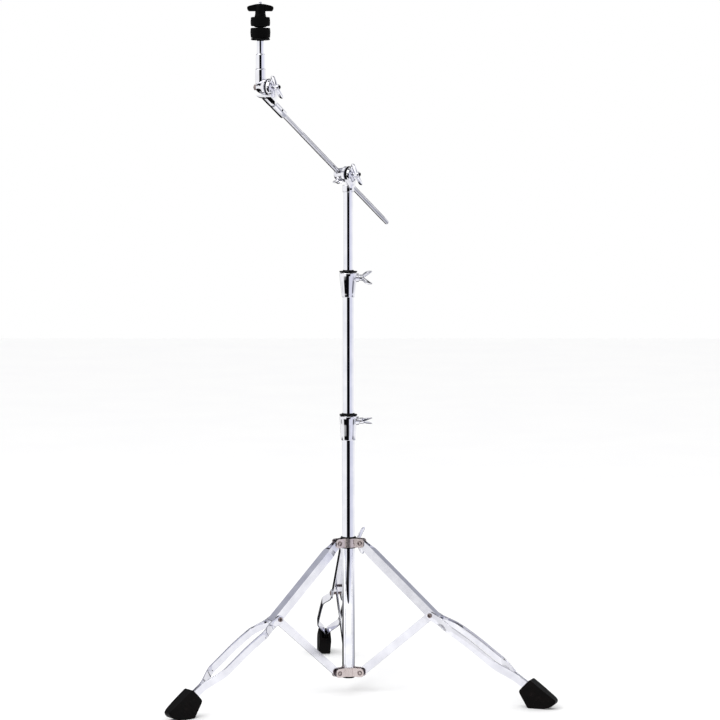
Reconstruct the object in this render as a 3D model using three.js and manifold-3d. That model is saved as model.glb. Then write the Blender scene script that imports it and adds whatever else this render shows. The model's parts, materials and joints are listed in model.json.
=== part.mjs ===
// A boom cymbal stand: double-strap tripod, three-section column, ratchet tilter, boom rod and cymbal seat.
// Millimetres, +Z up. The dimensions below are taken from the column's axis at floor level; the finished
// group is then moved so that its origin is the centre of its bounding box, at floor level.
import * as THREE from 'three';
import { mergeVertices } from 'three/addons/utils/BufferGeometryUtils.js';
import Module from 'manifold-3d';

const wasm = await Module();
wasm.setup();

// ---- Driving dimensions -------------------------------------------------------------------------------

const GAP = 0.3; // between neighbouring pieces
const ROUND = 24; // sides of a tube
const SMALL_ROUND = 12; // sides of a rivet, bolt or hole

// Telescoping column: outer and inner radius, bottom and top of each tube.
const BASE_TUBE = { outer: 12.7, inner: 11.4, bottom: 33, top: 563 };
const MIDDLE_TUBE = { outer: 11.1, inner: 9.8, bottom: 280, top: 851 };
const UPPER_TUBE = { outer: 9.5, inner: 8, bottom: 600, top: 1023.7 };
const CLAMP = { height: 49, ring: 5.2, boltDrop: 10, wideRadius: 18.3 };

// Tripod: azimuth of each leg's plane, and the three pivots of a leg as (distance from the axis, height).
const LEGS = { right: -22, left: -142, rear: 98 };
const UPPER_PIVOT = new THREE.Vector2(28, 306);
const LOWER_PIVOT = new THREE.Vector2(28, 41);
const KNEE = new THREE.Vector2(180, 170);
const CHANNEL = { half: 9.5, neck: 5.9, inward: 7, outward: 10.5, wall: 1.4, beyondKnee: 15 };
const STRAP = { thick: 2.6, half: 8, bulge: 21, knee: 11.1, toe: 2.6 };
const BRACE = { thick: 2.5, half: 8 };
const RIVET = { shaft: 2.9, head: 5, headThick: 1.8 };
const HOLE = RIVET.shaft + GAP;
const PLATE = { thick: 2, earInside: 6.2, earEnd: 36 };
const BUSHING = { inner: BASE_TUBE.outer + GAP, outer: 15.2, half: 11.5 };
const LOCK_AZIMUTH = LEGS.right + 60;
const FOOT_HALF = 12.5;

// Bolts and set screws: shaft radius and the radius of the hole they pass through.
const BOLT = { shaft: 3, hole: 3.4 };
const SET_SCREW = { radius: 2, hole: 2.3, turn: THREE.MathUtils.degToRad(-28) };

// Boom: where it points seen from above, how far it rises, and the offsets of its rod and pivots.
const BOOM_AZIMUTH = -124; // degrees, from the column to the cymbal seat
const BOOM_RISE = 31; // degrees
const BOOM_PIVOT_HEIGHT = 1047;
const DISC = 16; // radius of a ratchet disc
const FACE = 0.4; // of a ratchet disc, from the middle of the joint
const RATCHET_TURN = THREE.MathUtils.degToRad(126); // of the wings of a tilter's bolt
const ROD = { radius: 4.8, smooth: 4.5, tail: 198, front: 266, knurlFront: 158, knurlTail: 181, offset: 18.8 };
const BOOM_REACH = 318; // between the two ratchet pivots, along the rod
const TOP_PIVOT_LIFT = 6; // of the upper ratchet pivot off the rod's axis
const SOCKET = { radius: 8.2, near: 48, far: 90 }; // rod socket, measured back from the upper ratchet pivot

// Cymbal seat, as heights above the floor.
const SEAT = {
  neckTop: 1250.7,
  shoulder: 1279,
  cup: 1305,
  lowerFelt: 1309.7,
  seat: 1328.7,
  upperFelt: 1331.7,
  nut: 1349.3,
  wings: 1360.4,
  nutTop: 1373.6,
  studTop: 1378.4,
};
const FELT_RADIUS = 19;
const STUD = 3;
const POST = { foot: 6.6, collar: 8.65, sleeve: 5.9 }; // radii

// ---- Materials ----------------------------------------------------------------------------------------

function material(color, roughness, metalness) {
  return new THREE.MeshStandardMaterial({ color, roughness, metalness });
}

const chrome = () => material(0xe8e9ee, 0.08, 1);
const nickel = () => material(0xc9bdbb, 0.3, 1);
const blackRubber = () => material(0x17171a, 0.7, 0);
const blackPlastic = () => material(0x121214, 0.45, 0);
const blackFelt = () => material(0x0d0d0e, 0.95, 0);

// ---- Solid modelling ----------------------------------------------------------------------------------

function toSolid(geometry) {
  const bare = geometry.clone();
  bare.deleteAttribute('normal');
  bare.deleteAttribute('uv');
  const merged = mergeVertices(bare, 1e-4);
  const triVerts = new Uint32Array(merged.index.array);
  const vertProperties = new Float32Array(merged.attributes.position.array);
  return new wasm.Manifold(new wasm.Mesh({ numProp: 3, vertProperties, triVerts }));
}

function toGeometry(solid) {
  const mesh = solid.getMesh();
  const positions = new Float32Array(mesh.numVert * 3);
  for (let i = 0; i < mesh.numVert; i += 1) {
    positions.set(mesh.vertProperties.subarray(i * mesh.numProp, i * mesh.numProp + 3), i * 3);
  }
  const geometry = new THREE.BufferGeometry();
  geometry.setAttribute('position', new THREE.BufferAttribute(positions, 3));
  geometry.setIndex(new THREE.BufferAttribute(new Uint32Array(mesh.triVerts), 1));
  return geometry;
}

function combine(operation, first, rest) {
  return toGeometry(rest.reduce((solid, other) => solid[operation](toSolid(other)), toSolid(first)));
}

const join = (first, ...rest) => combine('add', first, rest);
const cut = (first, ...rest) => combine('subtract', first, rest);
const common = (first, ...rest) => combine('intersect', first, rest);

const points = (pairs) => pairs.map(([x, y]) => new THREE.Vector2(x, y));

// A solid of revolution about +Z from (radius, height) pairs that run up the outside.
function turned(pairs, segments = ROUND) {
  return new THREE.LatheGeometry(points(pairs), segments).rotateX(Math.PI / 2);
}

// A hollow cylinder about +Z.
function pipe(inner, outer, bottom, top, segments = ROUND) {
  return turned([[inner, bottom], [outer, bottom], [outer, top], [inner, top], [inner, bottom]], segments);
}

// A plain cylinder about +Z.
function bar(radius, bottom, top, segments = SMALL_ROUND) {
  const length = top - bottom;
  const cylinder = new THREE.CylinderGeometry(radius, radius, length, segments);
  return cylinder.rotateX(Math.PI / 2).translate(0, 0, (top + bottom) / 2);
}

// A flat outline in the XY plane, given thickness from z = bottom to z = top.
function plate(outline, bottom, top) {
  const shape = new THREE.Shape(outline);
  return new THREE.ExtrudeGeometry(shape, { depth: top - bottom, bevelEnabled: false }).translate(0, 0, bottom);
}

// A flat outline in the XZ plane, given thickness from y = near to y = far.
function slab(outline, near, far) {
  const shape = new THREE.Shape(outline);
  const solid = new THREE.ExtrudeGeometry(shape, { depth: far - near, bevelEnabled: false });
  return solid.rotateX(Math.PI / 2).translate(0, far, 0);
}

// A cylinder along Y through the point (x, z).
function crossBar(radius, x, z, near, far, segments = SMALL_ROUND) {
  return bar(radius, -far, -near, segments).rotateX(Math.PI / 2).translate(x, 0, z);
}

// Points on an arc about a centre, from one angle to another in degrees.
function arc(centreX, centreY, radius, from, to, steps) {
  return Array.from({ length: steps + 1 }, (_, i) => {
    const angle = THREE.MathUtils.degToRad(from + ((to - from) * i) / steps);
    return new THREE.Vector2(centreX + radius * Math.cos(angle), centreY + radius * Math.sin(angle));
  });
}

// A bar's outline with half-round ends about two points.
function stadium(start, end, radius, steps = 8) {
  const heading = THREE.MathUtils.radToDeg(Math.atan2(end.y - start.y, end.x - start.x));
  const first = arc(start.x, start.y, radius, heading + 90, heading + 270, steps);
  const second = arc(end.x, end.y, radius, heading - 90, heading + 90, steps);
  return [...first, ...second];
}

function piece(parent, name, geometry, look) {
  const mesh = new THREE.Mesh(geometry, look);
  mesh.name = name;
  parent.add(mesh);
  return mesh;
}

function placed(parent, position, rotate = () => {}) {
  const group = new THREE.Group();
  group.position.copy(position);
  rotate(group);
  parent.add(group);
  return group;
}

// ---- Wing bolts ---------------------------------------------------------------------------------------

// A bolt along +Z whose head carries two flat wings, spread along X. Heights are from the bolt's own origin:
// the shaft runs from tip to hub, the head from hub to end, and the wings reach out to the stated height.
function wingBolt({ tip, hub, end, shaft = BOLT.shaft, head = 6, span = 27, wingFrom, wingTo, thick = 3.6 }) {
  const body = turned([
    [0, tip],
    [shaft, tip],
    [shaft, hub],
    [head, hub],
    [head, end - 3],
    [head * 0.7, end - 0.6],
    [0, end],
  ], 16);
  const side = [
    [2, hub + 0.5],
    [head + 1.5, hub + 0.8],
    [span - 4, wingFrom],
    [span - 0.8, wingFrom + 1.4],
    [span, (wingFrom + wingTo) / 2],
    [span - 0.8, wingTo - 1.2],
    [span - 4, wingTo],
    [head + 3, end - 3.4],
    [2, end - 3],
  ];
  const outline = points([...side, ...side.map(([x, z]) => [-x, z]).reverse()]);
  return join(body, slab(outline, -thick / 2, thick / 2));
}

// ---- Tripod -------------------------------------------------------------------------------------------

// One pressed plate of a leg bracket: an ear beside each of two neighbouring legs, joined round the tube.
function bracketPlate(fit, bottom, top) {
  const outside = PLATE.earInside + PLATE.thick;
  const innerFrom = THREE.MathUtils.radToDeg(Math.asin(PLATE.earInside / fit));
  const outerRadius = fit + PLATE.thick;
  const outerFrom = THREE.MathUtils.radToDeg(Math.asin(outside / outerRadius));
  const nextLeg = (x, y) => new THREE.Vector2(x, y).rotateAround(new THREE.Vector2(), (2 * Math.PI) / 3);
  return plate([
    new THREE.Vector2(PLATE.earEnd, outside),
    ...arc(0, 0, outerRadius, outerFrom, 120 - outerFrom, 10),
    nextLeg(PLATE.earEnd, -outside),
    nextLeg(PLATE.earEnd, -PLATE.earInside),
    ...arc(0, 0, fit, 120 - innerFrom, innerFrom, 10),
    new THREE.Vector2(PLATE.earEnd, PLATE.earInside),
  ], bottom, top);
}

// The same solid on the other side of the XZ plane, with its faces turned to point outwards again.
function mirroredY(geometry) {
  const flipped = geometry.clone().toNonIndexed().scale(1, -1, 1);
  const position = flipped.attributes.position;
  for (let i = 0; i < position.count; i += 3) {
    const first = new THREE.Vector3().fromBufferAttribute(position, i);
    const second = new THREE.Vector3().fromBufferAttribute(position, i + 1);
    position.setXYZ(i, second.x, second.y, second.z);
    position.setXYZ(i + 1, first.x, first.y, first.z);
  }
  return flipped;
}

// A rivet half: head outside the ear, shank through it, ending short of the brace between the ears.
function rivetHalf(pivot, near) {
  const outside = PLATE.earInside + PLATE.thick;
  return join(
    crossBar(RIVET.shaft, pivot.x, pivot.y, near, outside + 1),
    crossBar(RIVET.head, pivot.x, pivot.y, outside - 0.5, outside + RIVET.headThick),
  );
}

function upperBracketPlate() {
  const bottom = UPPER_PIVOT.y - 10;
  const top = UPPER_PIVOT.y + 10;
  const hole = crossBar(HOLE, UPPER_PIVOT.x, UPPER_PIVOT.y, -40, 40);
  const nextHole = hole.clone().rotateZ((2 * Math.PI) / 3);
  return cut(bracketPlate(BUSHING.outer + GAP, bottom, top), hole, nextHole);
}

function lowerBracketPlate() {
  const bottom = LOWER_PIVOT.y - 10;
  const top = LOWER_PIVOT.y + 12;
  const near = BRACE.thick / 2 + 0.6;
  const ownRivet = rivetHalf(LOWER_PIVOT, near);
  const nextRivet = mirroredY(rivetHalf(LOWER_PIVOT, near)).rotateZ((2 * Math.PI) / 3);
  return join(bracketPlate(BASE_TUBE.outer + GAP, bottom, top), ownRivet, nextRivet);
}

function rivet(x, z, grip) {
  const head = grip + GAP;
  return join(
    crossBar(RIVET.shaft, x, z, -head - 1, head + 1),
    crossBar(RIVET.head, x, z, head, head + RIVET.headThick),
    crossBar(RIVET.head, x, z, -head - RIVET.headThick, -head),
  );
}

// The upper leg is a channel open towards the column, narrowed to two tongues between the bracket's ears.
// It is drawn along +X from its upper pivot, with its web on the +Z side.
function legChannel(length) {
  const end = length + CHANNEL.beyondKnee;
  const outerSide = [
    ...arc(0, 0, 7.5, 100, 260, 8),
    ...points([[20, -CHANNEL.inward], [end - 4, -CHANNEL.inward], [end, -CHANNEL.inward + 4]]),
    ...points([[end, CHANNEL.outward], [26, CHANNEL.outward]]),
  ];
  const webInside = CHANNEL.outward - CHANNEL.wall;
  const innerSide = points([
    [-20, -20], [end + 20, -20], [end + 20, webInside], [26, webInside], [14, 20], [-20, 20],
  ]);
  const taper = (half, neck, from, to) => points([
    [from, -neck], [16, -neck], [38, -half], [to, -half],
    [to, half], [38, half], [16, neck], [from, neck],
  ]);
  const outerTop = taper(CHANNEL.half, CHANNEL.neck, -20, end + 10);
  const innerTop = taper(CHANNEL.half - CHANNEL.wall, CHANNEL.neck - CHANNEL.wall, -30, end + 30);
  const blank = common(slab(outerSide, -20, 20), plate(outerTop, -30, 30));
  const hollow = common(slab(innerSide, -20, 20), plate(innerTop, -30, 30));
  return cut(blank, hollow, crossBar(HOLE, 0, 0, -20, 20), crossBar(HOLE, length, 0, -20, 20));
}

// How far a lower leg strap stands off the leg's plane, by distance from the column.
function strapSpread(distance) {
  const opening = THREE.MathUtils.smoothstep(distance, KNEE.x + 14, KNEE.x + 52);
  const closing = THREE.MathUtils.smoothstep(distance, KNEE.x + 136, KNEE.x + 184);
  return STRAP.knee + (STRAP.bulge - STRAP.knee) * opening - (STRAP.bulge - STRAP.toe) * closing;
}

// A lower leg strap in the leg's plane: an arched band in side view, bowed outward in plan.
function legStrap(side) {
  const spine = new THREE.CatmullRomCurve3([
    new THREE.Vector3(KNEE.x, KNEE.y, 0),
    new THREE.Vector3(226, 146, 0),
    new THREE.Vector3(267, 121, 0),
    new THREE.Vector3(301, 97, 0),
    new THREE.Vector3(348, 64, 0),
    new THREE.Vector3(381, 42, 0),
  ]);
  const steps = 12;
  const above = [];
  const below = [];
  for (let i = 0; i <= steps; i += 1) {
    const at = spine.getPointAt(i / steps);
    const along = spine.getTangentAt(i / steps);
    above.push(new THREE.Vector2(at.x - along.y * STRAP.half, at.y + along.x * STRAP.half));
    below.unshift(new THREE.Vector2(at.x + along.y * STRAP.half, at.y - along.x * STRAP.half));
  }
  const lead = spine.getTangentAt(0);
  const heading = THREE.MathUtils.radToDeg(Math.atan2(lead.y, lead.x));
  const roundEnd = arc(KNEE.x, KNEE.y, STRAP.half, heading + 90, heading + 270, 8).slice(1, -1);
  const band = slab([...above, ...below, ...roundEnd.reverse()], -30, 30);
  const plan = [];
  const planBack = [];
  for (let distance = KNEE.x - 12; distance <= 400; distance += 6) {
    const centre = side * strapSpread(distance);
    plan.push(new THREE.Vector2(distance, centre - STRAP.thick / 2));
    planBack.unshift(new THREE.Vector2(distance, centre + STRAP.thick / 2));
  }
  const hole = crossBar(HOLE, KNEE.x, KNEE.y, -30, 30);
  return cut(common(band, plate([...plan, ...planBack], -10, 300)), hole);
}

// A rubber foot: a wedge over the strap ends, flat where it stands, with a raised toe.
function foot() {
  const side = points([
    [386, 0], [402, 0], [420, 1.4], [435, 6], [443, 12.5], [444.5, 17], [441, 21],
    [393, 56], [390, 57], [387, 55], [366, 35], [364, 31], [366, 27],
  ]);
  const plan = points([
    [355, -FOOT_HALF], [415, -FOOT_HALF], [436, -10.5], [446, -6.5],
    [446, 6.5], [436, 10.5], [415, FOOT_HALF], [355, FOOT_HALF],
  ]);
  const pocket = points([[361, 44.7], [382, 30.7], [393, 46], [371, 61]]);
  const blank = common(slab(side, -30, 30), plate(plan, -5, 80));
  return cut(blank, slab(pocket, -7, 7));
}

function brace() {
  const blank = slab(stadium(LOWER_PIVOT, KNEE, BRACE.half), -BRACE.thick / 2, BRACE.thick / 2);
  const holes = [LOWER_PIVOT, KNEE].map((pivot) => crossBar(HOLE, pivot.x, pivot.y, -5, 5));
  return cut(blank, ...holes);
}

function addTripod(stand) {
  Object.entries(LEGS).forEach(([side, azimuth]) => {
    const leg = placed(stand, new THREE.Vector3(), (g) => g.rotateZ(THREE.MathUtils.degToRad(azimuth)));
    const reach = KNEE.clone().sub(UPPER_PIVOT);
    const slope = Math.atan2(-reach.y, reach.x);
    const channelAt = new THREE.Vector3(UPPER_PIVOT.x, 0, UPPER_PIVOT.y);
    const upper = placed(leg, channelAt, (g) => g.rotateY(slope));
    piece(upper, `leg_channel_${side}`, legChannel(reach.length()), chrome());
    piece(leg, `leg_strap_${side}_a`, legStrap(1), chrome());
    piece(leg, `leg_strap_${side}_b`, legStrap(-1), chrome());
    const grip = STRAP.knee + STRAP.thick / 2;
    piece(leg, `knee_rivet_${side}`, rivet(KNEE.x, KNEE.y, grip), nickel());
    piece(leg, `brace_${side}`, brace(), chrome());
    piece(leg, `foot_${side}`, foot(), blackRubber());
    const ears = PLATE.earInside + PLATE.thick;
    piece(leg, `upper_bracket_rivet_${side}`, rivet(UPPER_PIVOT.x, UPPER_PIVOT.y, ears), nickel());
    const lockHole = bar(BOLT.hole, 10, 30).rotateY(Math.PI / 2).rotateZ(Math.PI / 3);
    lockHole.translate(0, 0, UPPER_PIVOT.y);
    const upperPlate = side === 'right' ? cut(upperBracketPlate(), lockHole) : upperBracketPlate();
    piece(leg, `upper_bracket_plate_${side}`, upperPlate, nickel());
    piece(leg, `lower_bracket_plate_${side}`, lowerBracketPlate(), nickel());
  });
  const lockHole = bar(BOLT.hole, 10, 30).rotateY(Math.PI / 2).translate(0, 0, UPPER_PIVOT.y);
  lockHole.rotateZ(THREE.MathUtils.degToRad(LOCK_AZIMUTH));
  const bushing = pipe(BUSHING.inner, BUSHING.outer, -BUSHING.half, BUSHING.half).translate(0, 0, UPPER_PIVOT.y);
  piece(stand, 'leg_bracket_bushing', cut(bushing, lockHole), blackPlastic());
  const lock = placed(stand, new THREE.Vector3(0, 0, UPPER_PIVOT.y), (g) => {
    g.rotateZ(THREE.MathUtils.degToRad(LOCK_AZIMUTH));
    g.rotateY(Math.PI / 2);
  });
  const lockBolt = { tip: 13.4, hub: 18, end: 30, wingFrom: 36, wingTo: 45, span: 28 };
  piece(lock, 'leg_lock_bolt', wingBolt(lockBolt), chrome());
}

// ---- Column -------------------------------------------------------------------------------------------

// A height clamp: a tapered casting round the lower tube, with a boss for its wing bolt on the +X side.
function clampBody(lowerTube, top) {
  const bore = lowerTube.outer + GAP;
  const bottom = top - CLAMP.height;
  const casting = turned([
    [bore, bottom],
    [bore + 1.6, bottom],
    [bore + 2.6, bottom + 10],
    [CLAMP.wideRadius - 0.9, top - 16],
    [CLAMP.wideRadius, top - 6],
    [CLAMP.wideRadius, top],
    [bore, top],
    [bore, bottom],
  ]);
  const boss = bar(8.6, bore + 0.5, 21.5, 24).rotateY(Math.PI / 2).translate(0, 0, top - CLAMP.boltDrop);
  const boltHole = bar(BOLT.hole, bore - 2, 30).rotateY(Math.PI / 2).translate(0, 0, top - CLAMP.boltDrop);
  const tubeBore = bar(bore, bottom - 5, top + 5, ROUND);
  return cut(join(casting, boss), boltHole, tubeBore);
}

function addClamp(stand, prefix, lowerTube, upperTube, boltTurn) {
  const top = lowerTube.top;
  piece(stand, `${prefix}_clamp_body`, clampBody(lowerTube, top - GAP), chrome());
  const ring = pipe(upperTube.outer + GAP, CLAMP.wideRadius - 0.1, top + GAP, top + CLAMP.ring);
  piece(stand, `${prefix}_clamp_bushing`, ring, blackPlastic());
  const boltAt = new THREE.Vector3(0, 0, top - GAP - CLAMP.boltDrop);
  const bolt = placed(stand, boltAt, (g) => {
    g.rotateY(Math.PI / 2);
    g.rotateZ(THREE.MathUtils.degToRad(boltTurn));
  });
  const head = { tip: lowerTube.outer + 2 * GAP, hub: 21.8, end: 33, wingFrom: 41, wingTo: 52, span: 25 };
  piece(bolt, `${prefix}_clamp_bolt`, wingBolt(head), chrome());
}

function addColumn(stand) {
  const tubes = { base_tube: BASE_TUBE, middle_tube: MIDDLE_TUBE, upper_tube: UPPER_TUBE };
  Object.entries(tubes).forEach(([name, tube]) => {
    piece(stand, name, pipe(tube.inner, tube.outer, tube.bottom, tube.top), chrome());
  });
  const plugInside = BASE_TUBE.inner - GAP;
  const plug = turned([
    [0, BASE_TUBE.bottom - 4],
    [BASE_TUBE.outer - 0.7, BASE_TUBE.bottom - 4],
    [BASE_TUBE.outer, BASE_TUBE.bottom - 3],
    [BASE_TUBE.outer, BASE_TUBE.bottom - GAP],
    [plugInside, BASE_TUBE.bottom - GAP],
    [plugInside, BASE_TUBE.bottom + 11],
    [0, BASE_TUBE.bottom + 11],
  ]);
  piece(stand, 'base_tube_plug', plug, blackRubber());
  addClamp(stand, 'lower', BASE_TUBE, MIDDLE_TUBE, 70);
  addClamp(stand, 'upper', MIDDLE_TUBE, UPPER_TUBE, -60);
}

// ---- Boom ---------------------------------------------------------------------------------------------

// Tilter parts are drawn with the ratchet axis as +Z and up as +Y; -X points along the boom.

function ratchetDisc() {
  return turned([[0, FACE], [DISC, FACE], [DISC, 8], [DISC - 2, 11.5], [9, 13], [0, 13]]);
}

function tilterBase() {
  const neck = plate(points([[-9.5, -26], [9.5, -26], [13, -8], [-13, -8]]), FACE, 10);
  const socketTop = UPPER_TUBE.top + 2.3 - BOOM_PIVOT_HEIGHT;
  const socketBottom = UPPER_TUBE.top - 12 - BOOM_PIVOT_HEIGHT;
  const bore = UPPER_TUBE.outer + GAP;
  const socket = turned([
    [0, socketBottom],
    [11.5, socketBottom],
    [11.5, socketTop],
    [0, socketTop],
  ]).rotateX(-Math.PI / 2);
  const boreTop = UPPER_TUBE.top + GAP - BOOM_PIVOT_HEIGHT;
  const tubeBore = bar(bore, socketBottom - 5, boreTop, ROUND).rotateX(-Math.PI / 2);
  const screwHole = bar(SET_SCREW.hole, 4, 20).rotateY(SET_SCREW.turn).translate(0, socketBottom + 6, 0);
  return cut(join(ratchetDisc(), neck, socket), tubeBore, bar(BOLT.hole, -5, 20), screwHole);
}

function tilterArm() {
  const housing = turned([
    [0, -28.6],
    [10, -28.6],
    [11.5, -27],
    [12.5, -17],
    [14, -9],
    [DISC, -7],
    [DISC, -FACE],
    [0, -FACE],
  ]);
  const boss = bar(6.5, 8, 13.5, 20).rotateX(Math.PI / 2).translate(0, 0, -ROD.offset);
  const rodBore = bar(ROD.radius + GAP, -30, 30, 24).rotateY(Math.PI / 2).translate(0, 0, -ROD.offset);
  const clampHole = bar(2.8, 0, 20).rotateX(Math.PI / 2).translate(0, 0, -ROD.offset);
  return cut(join(housing, boss), rodBore, clampHole, bar(BOLT.hole, -11, 5));
}

function boomRod() {
  const rod = turned([
    [0, -ROD.front],
    [ROD.smooth, -ROD.front],
    [ROD.smooth, -ROD.knurlFront],
    [ROD.radius, -ROD.knurlFront + 1],
    [ROD.radius, ROD.knurlTail],
    [ROD.smooth, ROD.knurlTail + 1],
    [ROD.smooth, ROD.tail - 2],
    [ROD.smooth - 1.5, ROD.tail],
    [0, ROD.tail],
  ], 24);
  return rod.rotateY(Math.PI / 2).translate(0, 0, -ROD.offset);
}

// The upper ratchet's rod side: a disc beside the barrel, a cradle under it, and the socket of the rod.
function cradle() {
  const web = points([
    [SOCKET.near, -3], [SOCKET.near, -15.5], [22, -21], [0, -21], [0, -10], [12, 6], [24, 9],
  ]);
  const beside = plate(web, -0.5, 12);
  const under = cut(plate(web, -27.5, 0), bar(DISC + 1, -40, 10, ROUND));
  const clearance = bar(DISC + 1, -40, FACE, ROUND);
  const socket = bar(SOCKET.radius, SOCKET.near - 8, SOCKET.far, 24).rotateY(Math.PI / 2);
  const bore = bar(ROD.smooth + GAP, SOCKET.near + 3, SOCKET.far + 5, 24).rotateY(Math.PI / 2);
  [socket, bore].forEach((solid) => solid.translate(0, -TOP_PIVOT_LIFT, -ROD.offset));
  const screwHole = bar(SET_SCREW.hole, 0, 20).translate(SOCKET.far - 16, -TOP_PIVOT_LIFT, -ROD.offset);
  const body = join(ratchetDisc(), cut(beside, clearance), under, socket);
  return cut(body, bore, screwHole, bar(BOLT.hole, -5, 20));
}

// The upper ratchet's seat side: a barrel across the ratchet axis with a neck that rises from it.
function tilterHead() {
  const barrel = turned([
    [0, -27],
    [7, -27],
    [10.5, -25],
    [12.6, -20],
    [13.8, -13],
    [15, -8],
    [DISC, -6.5],
    [DISC, -FACE],
    [0, -FACE],
  ]);
  const neckHeight = SEAT.neckTop - topPivotHeight();
  const neck = turned([[0, 8], [10, 8], [10, neckHeight - 1], [9.2, neckHeight], [0, neckHeight]]);
  const postHole = bar(POST.foot + GAP, 10, neckHeight + 5, 24);
  [neck, postHole].forEach((solid) => solid.rotateX(-Math.PI / 2).translate(0, 0, -ROD.offset));
  return cut(join(barrel, neck), postHole, bar(BOLT.hole, -40, 5));
}

function topPivotHeight() {
  const rise = THREE.MathUtils.degToRad(BOOM_RISE);
  return BOOM_PIVOT_HEIGHT + BOOM_REACH * Math.sin(rise) + TOP_PIVOT_LIFT * Math.cos(rise);
}

function addSeat(head) {
  const pivot = topPivotHeight();
  const at = (height) => height - pivot;
  const axis = placed(head, new THREE.Vector3(0, 0, -ROD.offset), (g) => g.rotateX(-Math.PI / 2));
  const post = turned([
    [0, at(SEAT.neckTop) - 22],
    [POST.foot, at(SEAT.neckTop) - 22],
    [POST.foot, at(SEAT.neckTop) + GAP],
    [POST.collar, at(SEAT.neckTop) + GAP],
    [POST.collar, at(SEAT.shoulder) - 0.6],
    [POST.foot, at(SEAT.shoulder)],
    [POST.foot, at(SEAT.cup) - GAP],
    [STUD, at(SEAT.cup) - GAP],
    [STUD, at(SEAT.studTop) - 1],
    [STUD - 0.8, at(SEAT.studTop)],
    [0, at(SEAT.studTop)],
  ], 24);
  piece(axis, 'cymbal_post', post, chrome());
  const cup = turned([
    [STUD + GAP, at(SEAT.cup)],
    [16.5, at(SEAT.cup)],
    [18.4, at(SEAT.cup) + 0.8],
    [17, at(SEAT.lowerFelt) - GAP],
    [STUD + GAP, at(SEAT.lowerFelt) - GAP],
    [STUD + GAP, at(SEAT.cup)],
  ]);
  piece(axis, 'cup_washer', cup, blackPlastic());
  const sleeve = pipe(STUD + GAP, POST.sleeve, at(SEAT.lowerFelt), at(SEAT.nut) - 4, 20);
  piece(axis, 'cymbal_sleeve', sleeve, blackPlastic());
  const bore = POST.sleeve + GAP;
  const lowerFelt = turned([
    [bore, at(SEAT.lowerFelt)],
    [FELT_RADIUS - 1.2, at(SEAT.lowerFelt)],
    [FELT_RADIUS, at(SEAT.lowerFelt) + 1.2],
    [FELT_RADIUS, at(SEAT.seat) - 1.2],
    [FELT_RADIUS - 1.2, at(SEAT.seat)],
    [bore, at(SEAT.seat)],
    [bore, at(SEAT.lowerFelt)],
  ]);
  piece(axis, 'lower_felt', lowerFelt, blackFelt());
  const feltTop = at(SEAT.nut) - GAP;
  const upperFelt = turned([
    [bore, at(SEAT.upperFelt)],
    [FELT_RADIUS - 1.4, at(SEAT.upperFelt)],
    [FELT_RADIUS - 0.4, at(SEAT.upperFelt) + 1.2],
    [FELT_RADIUS - 0.4, feltTop - 1.2],
    [FELT_RADIUS - 1.8, feltTop],
    [bore, feltTop],
    [bore, at(SEAT.upperFelt)],
  ]);
  piece(axis, 'upper_felt', upperFelt, blackFelt());
  const nut = wingNut(at(SEAT.nut), at(SEAT.wings), at(SEAT.nutTop));
  piece(axis, 'wing_nut', nut.rotateZ(-THREE.MathUtils.degToRad(BOOM_AZIMUTH + 180)), blackPlastic());
}

function wingNut(bottom, wings, top) {
  const hub = turned([[0, bottom], [10.6, bottom], [9.8, wings], [8.5, top - 2], [7, top], [0, top]], 24);
  const side = [
    [5, wings - 0.5], [23, wings - 0.5], [24.6, wings + 6], [24, top - 3], [20, top - 1.8], [5, top],
  ];
  const outline = points([...side, ...side.map(([x, z]) => [-x, z]).reverse()]);
  const grips = slab(outline, -4, 4);
  return cut(join(hub, grips), bar(STUD + GAP, bottom - 5, top + 5));
}

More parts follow.
